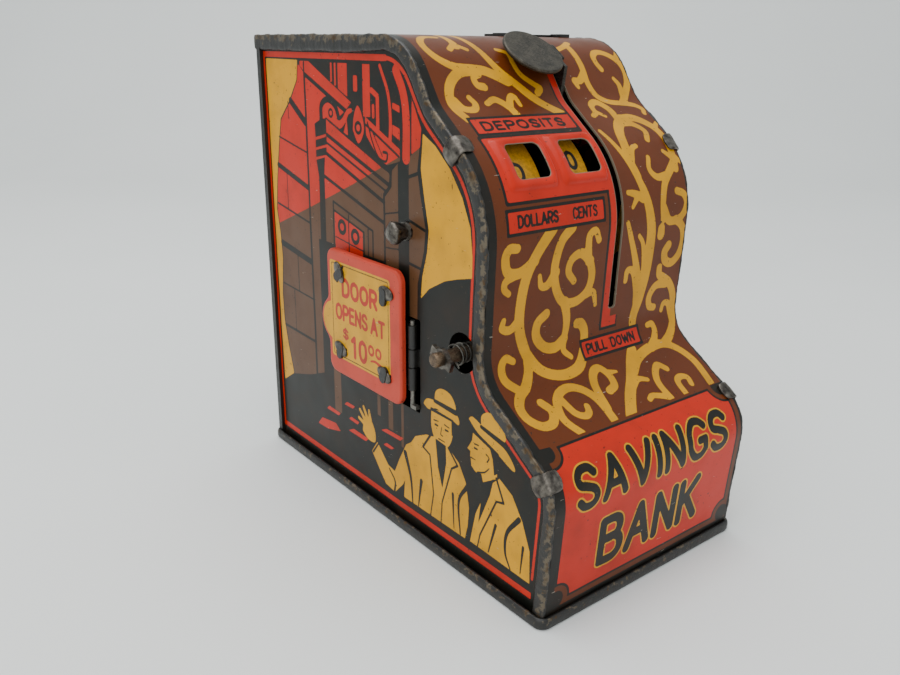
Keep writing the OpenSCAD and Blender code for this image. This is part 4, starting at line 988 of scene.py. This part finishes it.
class BANK_OT_side_panels(bpy.types.Operator):
    """Side panels: flat sheets cut to the front curve, with the street scene; the left one has
    the door opening, the hinge notch and the plunger hole"""
    bl_idname = "bank.side_panels"
    bl_label = "Side panels"

    # Each piece: name, first and last d, first and last z, cell size
    PIECES = [("low_back", 0.6, 52, FLOOR_Z, 46, 0.42), ("low_front", 52, 118, FLOOR_Z, 46, 0.27),
              ("high_back", 0.6, 52, 46, TOP_Z - 0.5, 0.3), ("high_front", 52, 118, 46, TOP_Z - 0.5, 0.34)]

    @staticmethod
    def outside(q):
        """Distance beyond the front curve, negative outside the panel."""
        s = np.linspace(0, END_S + 4, 420)
        y, z, h = skin(s)
        edge = np.stack([BACK_Y - y - 0.5 * np.sin(h), z - 0.5 * np.cos(h)], 1)
        return -area_distance(q, np.vstack([edge, [[edge[-1, 0], -9], [-9, -9], [-9, edge[0, 1]]]]))

    @classmethod
    def left_hole(cls, q):
        """Distance to the openings of the left panel, negative inside."""
        d1, d0 = BACK_Y - DOOR_LOW[1] - 3, BACK_Y - DOOR_HIGH[1] + 6.5
        door = box_distance(q, d0, d1, DOOR_LOW[2] + 3, DOOR_HIGH[2] - 3, 3)
        notch = box_distance(q, d1 - 1, d1 + 6.6, DOOR_LOW[2] - 1, DOOR_LOW[2] + 22.4, 0.6)
        plunger = np.hypot(q[:, 0] - BACK_Y + PLUNGER_Y, q[:, 1] - PLUNGER_Z) - 4.6
        return np.minimum.reduce([door, notch, plunger, cls.outside(q)])

    def execute(self, context):
        for side, hole, coarser in (("left", self.left_hole, 1.0), ("right", self.outside, 1.35)):
            for part, d0, d1, z0, z1, cell in self.PIECES:
                q, quads = cut_grid(lines(d0, d1, cell * coarser), lines(z0, z1, cell * coarser), hole)
                out = SIDE_X + 0.06 * ripple(q[:, 0] * 0.11, q[:, 1] * 0.12, 2.0)
                left = side == "left"
                points = np.stack([-out if left else out, BACK_Y - q[:, 0], q[:, 1]], 1)
                obj = build(f"{side}_{part}", points, quads if left else quads[:, ::-1], marks=side_inks(q))
                thicken(obj, context.scene.bank.sheet)
                finish_piece(obj, side_print(), "case", "black_tin", f"{side}_side")
        return {"FINISHED"}


class BANK_OT_seams(bpy.types.Operator):
    """Rolled seams along both edges of the front sheet, their clinched ears, the hem at the back
    and the rolled rim and floor of the base"""
    bl_idname = "bank.seams"
    bl_label = "Seams and base"

    EARS = {-1: (95.9, 172.7), 1: (100.2, 168.6)}

    def seam(self, side):
        """A bead of superellipse section carried down the front curve, deeper along the top hem."""
        s = np.linspace(-0.8, END_S, 560)
        y, z, h = skin(s)
        y = y + np.maximum(-s, 0)
        centres = np.stack([np.full(len(s), side * (SIDE_X + 0.42)), y, z], 1)
        across = np.tile([side * 1.0, 0, 0], (len(s), 1))
        out = np.stack([np.zeros(len(s)), -np.sin(h), np.cos(h)], 1)
        half = np.interp(s, [0, 52, 62, END_S], [1.95, 1.95, 1.6, 1.6])[:, None]
        u, v = superellipse(1, 1, 3.0, 28)
        lump = (1 + 0.09 * ripple(s[:, None] * 0.55, 2 * u[None], side)
                + 0.05 * ripple(s[:, None] * 1.7, v[None]))
        ridge = np.clip(u + v, 0, 1.4)[None] * np.ones((len(s), 1))
        depth = half * (v * lump - 0.97)
        obj = tube(f"seam_{'left' if side < 0 else 'right'}", centres, across, out, 0.62 * u * lump,
                   depth + 0.1 * ripple(s * 0.4, s * 0.03, side)[:, None], flip=side < 0,
                   marks={"ridge": ridge})
        finish_piece(obj, seam_black(), "case", "black_tin", "front_sheet")

    def ear(self, side, s, count):
        """A rounded strip bent over the seam, from the front face round to the side."""
        run = spline([(-2.6, 0.2), (-1.4, 0.35), (0.4, 0.42), (1.25, -0.3), (1.4, -1.8), (1.3, -3.4),
                      (0.9, -4.6)], 6)
        y, z, h = skin(s)
        origin = np.array([side * SIDE_X, y, z])
        across, out = np.array([side, 0, 0]), np.array([0, -math.sin(h), math.cos(h)])
        along = np.array([0, -math.cos(h), -math.sin(h)])
        centres = origin + run[:, :1] * across + run[:, 1:] * out
        tangent = np.gradient(centres, axis=0)
        tangent /= np.linalg.norm(tangent, axis=1)[:, None]
        face = np.cross(np.tile(along, (len(run), 1)), tangent) * side
        t = np.linspace(-1, 1, len(run))[:, None]
        u, v = superellipse(2.3, 0.34, 4.0, 20)
        width = np.sqrt(np.clip(1 - t ** 8, 0.03, 1))
        obj = tube(f"seam_ear_{count}", centres, np.tile(along, (len(run), 1)), face, u * width,
                   v + 0.12 * ripple(u * 1.1 + 0 * t, 3 * t, s), flip=side > 0,
                   marks={"ridge": 0.9 + 0 * u * t})
        finish_piece(obj, hammered_steel(), "case", "dark_steel", "seam_tabs")

    def base_rim(self):
        """A bead carried round a rectangle with quarter-circle corners."""
        r = 2.0
        hx, y0, y1 = PAN_HIGH[0] - 0.72, PAN_LOW[1] + 0.72, PAN_HIGH[1] - 0.72
        a = np.linspace(0, math.pi / 2, 9)
        corner = [((hx - r) * sx, y1 - r if sy > 0 else y0 + r, turn)
                  for sx, sy, turn in ((1, 1, 0), (-1, 1, 90), (-1, -1, 180), (1, -1, 270))]
        rounds = [np.stack([x + r * np.cos(a + math.radians(t)), y + r * np.sin(a + math.radians(t))], 1)
                  for x, y, t in corner]
        loop = np.vstack([np.linspace(p[-1], n[0], 60, endpoint=False)[1:] if i % 2 else p
                          for p, n in zip(rounds, rounds[1:] + rounds[:1]) for i in (0, 1)])
        ahead = np.roll(loop, -1, 0) - np.roll(loop, 1, 0)
        ahead /= np.linalg.norm(ahead, axis=1)[:, None]
        out = np.stack([ahead[:, 1], -ahead[:, 0], 0 * ahead[:, 0]], 1)
        centres = np.column_stack([loop, np.full(len(loop), PAN_HIGH[2] / 2)])
        u, v = superellipse(0.7, PAN_HIGH[2] / 2, 2.6, 20)
        lump = 1 + 0.06 * ripple(np.arange(len(loop))[:, None] * 0.5, 2 * u[None])
        ridge = np.clip(u + 0.6 * v, 0, 1)[None] * np.ones_like(lump)
        obj = tube("base_rim", centres, out, np.tile([0, 0, 1.0], (len(loop), 1)), u * lump,
                   v * np.ones_like(lump), closed=True, flip=True, marks={"ridge": ridge})
        finish_piece(obj, seam_black(), "case", "black_tin", "base_pan")

    def base_floor(self):
        """The base sheet: flat, with its middle pressed up a little inside a rounded step."""
        x, y = lines(-EDGE_X, EDGE_X, 1.2), lines(PAN_LOW[1] + 1.2, PAN_HIGH[1] - 1.2, 1.2)
        q, quads = cut_grid(x, y, lambda p: np.full(len(p), 1.0))
        inside = -box_distance(q, x[0], x[-1], y[0], y[-1], 3) - 5
        z = 0.1 + 0.45 / (1 + np.exp(-3 * inside))
        obj = build("base_floor", np.column_stack([q, z]), quads[:, ::-1], marks={"ridge": np.zeros(len(q))})
        thicken(obj, 0.4 * MM)
        finish_piece(obj, seam_black(), "case", "black_tin", "base_pan")

    def execute(self, context):
        count = 0
        for side in (-1, 1):
            self.seam(side)
            for s in self.EARS[side]:
                count += 1
                self.ear(side, s, count)
        self.base_rim()
        self.base_floor()
        repaint("back_panel", seam_black())
        return {"FINISHED"}


class BANK_OT_lever(bpy.types.Operator):
    """Lever: finger disc with a rolled-off rim and the ear that carries it; the arm keeps its shape"""
    bl_idname = "bank.lever"
    bl_label = "Lever"

    TILT = math.radians(35)
    RADIUS = 7.6

    def execute(self, context):
        low, high = corners("lever_disc")
        arm_high = corners("lever_arm")[1][0]
        radius = self.RADIUS
        centre = np.array([low[0] + radius, (low[1] + high[1]) / 2, (low[2] + high[2]) / 2])
        axis = np.array([0, -math.sin(self.TILT), math.cos(self.TILT)])
        rise = [-0.46, -0.5, -0.44, -0.2, 0.2, 0.42, 0.5, 0.5, 0.44, 0.4]
        radii = [radius - inset for inset in (3.8, 0.5, 0.14, 0, 0, 0.1, 0.3, 0.5, 3, 7)]
        disc = revolve("finger_disc", rise, radii, centre, axis, wobble=0.004, turns=120)
        steel = stored("oxidised_disc_steel", old_steel, "#1f1d1a", "#5f5a50", 0.5, (1, 7, 7), 0.55)
        finish_piece(disc, steel, "lever", "dark_steel", "lever_disc")
        x = np.linspace(centre[0] + radius - 1.6, arm_high, 12)
        path = np.column_stack([x, np.full(12, centre[1]), np.full(12, centre[2])])
        side = np.cross(axis, [1.0, 0, 0])
        u, v = superellipse(2.6, 0.48, 5, 24)
        ear = tube("disc_ear", path, np.tile(side, (12, 1)), np.tile(axis, (12, 1)), u, v, flip=True)
        finish_piece(ear, dark_steel(), "lever", "dark_steel", "lever_disc")
        return {"FINISHED"}


class BANK_OT_drums(bpy.types.Operator):
    """Number bands round both drums: a cylinder unrolled to a strip with ten numbers on it"""
    bl_idname = "bank.drums"
    bl_label = "Number drums"

    # Body, left face, where a number sits across the band, and the angle of its nought
    BANDS = [("cents_wheel", CENTS_LOW[0], (4.6, 6.9), 39), ("dollars_wheel", DOLLARS_LOW[0], (1.9, 5.0), 35)]

    def execute(self, context):
        for body, x0, (g0, g1), nought in self.BANDS:
            radius = DRUM_R + 0.07
            a = lines(nought - 180, nought + 180, 0.6)
            x = lines(x0, x0 + DRUM_W, 0.3)
            unroll = math.radians(radius)
            digits = [shape for k in range(-5, 6)
                      for shape in lettering(str(k % 10), x0 + g0, x0 + g1, (nought + 36 * k) * unroll - 2.1,
                                             4.2, 0.95)]
            gx, ga = np.meshgrid(x, a)
            q = np.stack([gx.ravel(), ga.ravel() * unroll], 1)
            angle = np.radians(ga.ravel())
            points = np.stack([gx.ravel(), AXLE_Y - radius * np.cos(angle),
                               AXLE_Z + radius * np.sin(angle)], 1)
            quads = grid_quads(len(a), len(x))
            obj = build(f"{body}_band", points, quads, marks={"ink_black": ink(q, digits)})
            thicken(obj, 0.05 * MM)
            finish_piece(obj, stored("aged_yellow_enamel", number_enamel), body, "number_yellow")
        return {"FINISHED"}


class BANK_OT_door(bpy.types.Operator):
    """Money door: a shallow pan whose edge rolls over, with a finger lobe, its legend and the four
    clinched ears on its face"""
    bl_idname = "bank.door"
    bl_label = "Money door"

    ROLL = 0.55
    SKIRT = 0.85
    EARS = [(-10.2, 11.2, 55), (10.8, 10.6, 8), (-10.4, -9.4, 20), (9.6, -10.4, 20)]

    @classmethod
    def middle(cls):
        """Middle of the door's plate in (d, z), its lobe left out."""
        return BACK_Y - DOOR_LOW[1] - 16.5, (DOOR_LOW[2] + DOOR_HIGH[2]) / 2

    @classmethod
    def edge(cls, q):
        """Distance to the door's outline: a rounded square and a lobe joined by a soft fillet."""
        d, z = cls.middle()
        square = box_distance(q, d - 16.5, d + 16.5, DOOR_LOW[2], DOOR_HIGH[2], 3)
        lobe = np.hypot(q[:, 0] - d + 13.98, q[:, 1] - z + 2.5) - 6.02
        blend = np.clip(0.5 + (lobe - square) / 3, 0, 1)
        return lobe + (square - lobe) * blend - 1.5 * blend * (1 - blend)

    def inks(self, q):
        d, z = self.middle()
        d0, z0 = d - 16.5, DOOR_LOW[2]
        field = ("box", d0 + 1.5, d0 + 28.6, z0 + 4.6, z0 + 30.6, 0.8)
        frame_box = ("box", d0 + 2.4, d0 + 27.9, z0 + 5.3, z0 + 29.9, 0.5)
        words = (lettering("DOOR", d0 + 7.6, d0 + 22.8, z0 + 22.2, 4.1, 1.1)
                 + lettering("OPENS", d0 + 4.2, d0 + 18.4, z0 + 15.6, 3.7, 0.9)
                 + lettering("AT", d0 + 20.4, d0 + 26, z0 + 15.6, 3.7, 0.9)
                 + lettering("$", d0 + 7.4, d0 + 9.5, z0 + 10.8, 2.3, 0.6)
                 + lettering("10", d0 + 11.4, d0 + 17.8, z0 + 6.8, 5.1, 1.2)
                 + lettering("00", d0 + 19.2, d0 + 24.4, z0 + 9.7, 2.3, 0.75)
                 + [("curve", 0.5, 0.9, [(d0 + 20, z0 + 8), (d0 + 22, z0 + 8.4), (d0 + 24.4, z0 + 7.9)])])
        lobe = np.hypot(q[:, 0] - d + 13.98, q[:, 1] - z + 2.5) - 5.1
        reach = [(2.5 * math.cos(math.radians(t)), 2.5 * math.sin(math.radians(t))) for _, _, t in self.EARS]
        # Short black strokes 0.5 mm below each ear are painted shadow: the shade an ear casts over the slot
        # it passes through
        slot_shadows = [("line", 1.0, 0.8, [(d + x - across, z + y - up - 0.5), (d + x + across, z + y + up - 0.5)])
                 for (x, y, _), (across, up) in zip(self.EARS, reach)]
        line = np.abs(ink(q, [frame_box])) - 0.14
        away = np.full(len(q), FAR)
        return {"ink_brown": away, "ink_bare": away, "ink_yellow": np.minimum(ink(q, [field]), lobe),
                "ink_red": ink(q, words), "ink_black": np.minimum(line, ink(q, slot_shadows))}

    def execute(self, context):
        d, z = self.middle()
        beyond = self.SKIRT + self.ROLL * (math.pi / 2 - 1)
        q, quads = cut_grid(lines(d - 22, d + 18, 0.25), lines(DOOR_LOW[2] - 2, DOOR_HIGH[2] + 2, 0.25),
                            lambda p: beyond - self.edge(p))
        marks = self.inks(q)
        for first in (True, False):
            distance = self.edge(q)
            step = 1e-3
            slope = np.stack([self.edge(q + [step, 0]) - self.edge(q - [step, 0]),
                              self.edge(q + [0, step]) - self.edge(q - [0, step])], 1) / (2 * step)
            if first:
                run = distance + self.ROLL
                turn = np.clip(run / self.ROLL, 0, math.pi / 2)
                inset = np.where(run > 0, -self.ROLL * (1 - np.sin(turn)), distance)
                depth = self.ROLL * (1 - np.cos(turn)) + np.maximum(run - self.ROLL * math.pi / 2, 0)
            q = q - (distance - inset)[:, None] * slope
        x = DOOR_LOW[0] + depth + 0.06 * ripple(q[:, 0] * 0.2, q[:, 1] * 0.2)
        obj = build("door_pan", np.stack([x, BACK_Y - q[:, 0], q[:, 1]], 1), quads, marks=marks)
        thicken(obj, context.scene.bank.sheet)
        finish_piece(obj, door_print(), "door", "door_print", "door_plate")
        for count, (ex, ez, turn) in enumerate(self.EARS, 1):
            centre = (DOOR_LOW[0] + 0.1, BACK_Y - d - ex, z + ez)
            ear = revolve(f"door_ear_{count}", [0, 0.5, 0.6, 0.66, 0.68], [1, 1, 0.94, 0.75, 0.2], centre,
                          (-1, 0, 0), turns=40)
            mesh = ear.data
            spin = Matrix.Rotation(math.radians(turn), 4, "X")
            size = Matrix.Diagonal((1, 2.9, 1.6, 1))
            at = Matrix.Translation(Vector(centre) * MM)
            mesh.transform(at @ spin @ size @ at.inverted())
            finish_piece(ear, hammered_steel(), "door", "bare_steel")
        return {"FINISHED"}


class BANK_OT_axle_ends(bpy.types.Operator):
    """Peened axle ends: a round neck hammered into an uneven head on each side"""
    bl_idname = "bank.axle_ends"
    bl_label = "Axle ends"

    def execute(self, context):
        length = AXLE_HIGH[0] - SIDE_X
        for count, side in enumerate((-1, 1)):
            rise = np.array([0, 0.1, 0.2, 0.4, 0.6, 0.8, 0.95, 1.03, 1.04]) * length
            radii = [2.2, 2.0, 1.9, 2.0, 2.3, 2.5, 2.3, 1.5, 0.2]
            obj = revolve(f"axle_head_{count + 1}", rise, radii, (side * SIDE_X, AXLE_Y, AXLE_Z),
                          (side, 0, 0), wobble=0.2, seed=3 + count)
            finish_piece(obj, hammered_steel(), "case", "bare_steel")
        return {"FINISHED"}


class BANK_OT_plunger(bpy.types.Operator):
    """Reset plunger of browned steel, and the outer coil and leg of its spring wire"""
    bl_idname = "bank.plunger"
    bl_label = "Plunger"

    def execute(self, context):
        length = ROD_HIGH[0] - ROD_LOW[0]
        head = (ROD_HIGH[2] - ROD_LOW[2]) / 2
        rise = [0, 0.02, 0.3, 1.2, 1.6, 5, length - 1.2, length - 1.0, length - 0.1, length]
        radii = [1.2, 1.35, 1.6, 1.6, 1.55, 1.6, 1.6, head, head, head - 0.2]
        rod = revolve("reset_plunger", rise, radii, (ROD_LOW[0], PLUNGER_Y, PLUNGER_Z), (1, 0, 0),
                      wobble=0.02)
        rod_steel = stored("browned_steel", old_steel, "#3b2f26", "#8c7861", 0.45)
        finish_piece(rod, rod_steel, "plunger", "dark_steel", "plunger_rod")
        t = np.linspace(0, 1, 90)
        a = 2 * math.pi * 1.2 * t + 0.6
        coil = np.stack([-SIDE_X - 2.2 + 2.0 * t, PLUNGER_Y + COIL_R * np.cos(a),
                         PLUNGER_Z + COIL_R * np.sin(a)], 1)
        reach = np.linspace(0.1, 1, 12)[:, None]
        leg = coil[0] + reach * np.array([-0.4, -4.2, -3.6])
        path = np.vstack([leg[::-1], coil])
        tangent = np.gradient(path, axis=0)
        tangent /= np.linalg.norm(tangent, axis=1)[:, None]
        across = np.cross(tangent, [1.0, 0, 0])
        across /= np.linalg.norm(across, axis=1)[:, None]
        u, v = superellipse(0.24, 0.24, 2, 10)
        wire = tube("spring_wire_end", path, across, np.cross(tangent, across), u, v)
        finish_piece(wire, stored("music_wire", old_steel, "#2e2d2a", "#76736b", 0.4), "case", "spring_wire")
        return {"FINISHED"}


class BANK_OT_works(bpy.types.Operator):
    """Finishes of the pieces that keep their own shape: arm, works, hinge, chute and spring"""
    bl_idname = "bank.works"
    bl_label = "Works"

    def execute(self, context):
        finishes = {
            dark_steel: ["lever_arm", "pawl_shaft", "pawl_spacers", "plunger_guide", "plunger_spring"],
            bright_tin: ["coin_guard", "axle", "axle_spacers", "cents_ratchet", "transfer_finger",
                         "dollars_ratchet", "cents_pawl", "dollars_pawl", "lever_hub", "lever_spring",
                         "drive_pawl", "drive_pawl_rivet", "door_hinge_pin",
                         "door_lock_arm", "door_lock_rivet", "door_striker"],
            hammered_steel: ["plunger_collar"],
            seam_black: ["coin_chute", "cents_drum", "dollars_drum", "door_inner_plate", "door_hinge_leaf"],
        }
        for finish, nodes in finishes.items():
            for node in nodes:
                repaint(node, finish())
        return {"FINISHED"}


class BANK_OT_stage(bpy.types.Operator):
    """Stage: pale floor running up into a backdrop, soft lights and the camera"""
    bl_idname = "bank.stage"
    bl_label = "Stage"

    AZIMUTH = math.radians(-38.54)
    ELEVATION = math.radians(19.22)
    ROLL = math.radians(0.644)
    PLACE = (-141.24, -162.80, 117.53)
    LENS = 33.58

    def floor(self):
        """A strip that lies flat, turns up on a wide quarter circle and goes on as a wall, square to
        the camera's heading."""
        turn = 400.0
        t = np.linspace(0, math.pi / 2, 24)
        run = np.concatenate([[-2500, 500], 500 + turn * np.sin(t)[1:], [500 + turn]])
        rise = np.concatenate([[0, 0], turn * (1 - np.cos(t))[1:], [2500]])
        across = np.linspace(-2500, 2500, 9)
        c, s = math.cos(self.AZIMUTH), math.sin(self.AZIMUTH)
        x, back = np.meshgrid(across, run)
        z = np.repeat(rise[:, None], len(across), 1)
        points = np.stack([c * x - s * back, s * x + c * back, z], -1).reshape(-1, 3)
        obj = build("floor", points, grid_quads(len(run), len(across)))
        mat, tree, shader, place = start_finish("matt_white_paper", 0.62)
        mottle = add(tree, "ShaderNodeTexNoise", {"Vector": place, "Scale": per_metre(160), "Detail": 2.0})
        colour = add(tree, "ShaderNodeMix", {0: mottle, 6: linear("#dcdfdd"), 7: linear("#e6e8e6")}, out=2,
                     data_type="RGBA")
        tree.links.new(colour, shader.inputs["Base Color"])
        obj.data.materials.append(mat)

    def light(self, name, place, target, size, power, shape="RECTANGLE"):
        data = bpy.data.lights.new(name, "AREA")
        data.shape = shape
        data.size, data.size_y = size
        data.energy = power
        obj = bpy.data.objects.new(name, data)
        obj.location = place
        obj.rotation_euler = (Vector(target) - Vector(place)).to_track_quat("-Z", "Y").to_euler()
        bpy.context.scene.collection.objects.link(obj)

    def camera(self):
        a, e, r = self.AZIMUTH, self.ELEVATION, self.ROLL
        back = Vector((math.sin(a) * math.cos(e), -math.cos(a) * math.cos(e), math.sin(e)))
        right = Vector((math.cos(a), math.sin(a), 0))
        up = back.cross(right)
        turned = Matrix((math.cos(r) * right + math.sin(r) * up,
                         -math.sin(r) * right + math.cos(r) * up, back)).transposed()
        data = bpy.data.cameras.new("camera")
        data.lens = self.LENS
        data.sensor_width = 36
        data.clip_start = 0.01
        obj = bpy.data.objects.new("camera", data)
        obj.matrix_world = Matrix.Translation(Vector(self.PLACE) * MM) @ turned.to_4x4()
        bpy.context.scene.collection.objects.link(obj)
        bpy.context.scene.camera = obj

    def execute(self, context):
        self.floor()
        power = context.scene.bank.key_power
        target = (0, 0, 0.05)
        self.light("overhead_softbox", (-0.1, 0.1, 0.75), target, (0.9, 0.7), power)
        self.light("left_fill", (-0.7, -0.35, 0.4), target, (0.6, 0.6), power * 0.35)
        world = bpy.data.worlds.new("studio") if not context.scene.world else context.scene.world
        context.scene.world = world
        world.use_nodes = True
        background = next(n for n in world.node_tree.nodes if n.type == "BACKGROUND")
        background.inputs["Color"].default_value = linear("#e8ecee")
        background.inputs["Strength"].default_value = 1.1
        self.camera()
        return {"FINISHED"}


class BANK_PT_panel(bpy.types.Panel):
    """Sidebar panel with the settings and one button for each piece"""
    bl_label = "Tin bank"
    bl_idname = "BANK_PT_panel"
    bl_space_type = "VIEW_3D"
    bl_region_type = "UI"
    bl_category = "Tin bank"

    def draw(self, context):
        for name in BankSettings.__annotations__:
            self.layout.prop(context.scene.bank, name)
        for operator in OPERATORS:
            self.layout.operator(operator.bl_idname)


OPERATORS = (BANK_OT_front_sheet, BANK_OT_side_panels, BANK_OT_seams, BANK_OT_lever, BANK_OT_drums,
             BANK_OT_door, BANK_OT_axle_ends, BANK_OT_plunger, BANK_OT_works, BANK_OT_stage)
CLASSES = (BankSettings,) + OPERATORS + (BANK_PT_panel,)


def register():
    for cls in CLASSES:
        bpy.utils.register_class(cls)
    bpy.types.Scene.bank = PointerProperty(type=BankSettings)


def unregister():
    del bpy.types.Scene.bank
    for cls in reversed(CLASSES):
        bpy.utils.unregister_class(cls)


def main():
    register()
    for operator in OPERATORS:
        family, piece = operator.bl_idname.split(".")
        getattr(getattr(bpy.ops, family), piece)()


if __name__ == "__main__":
    main()
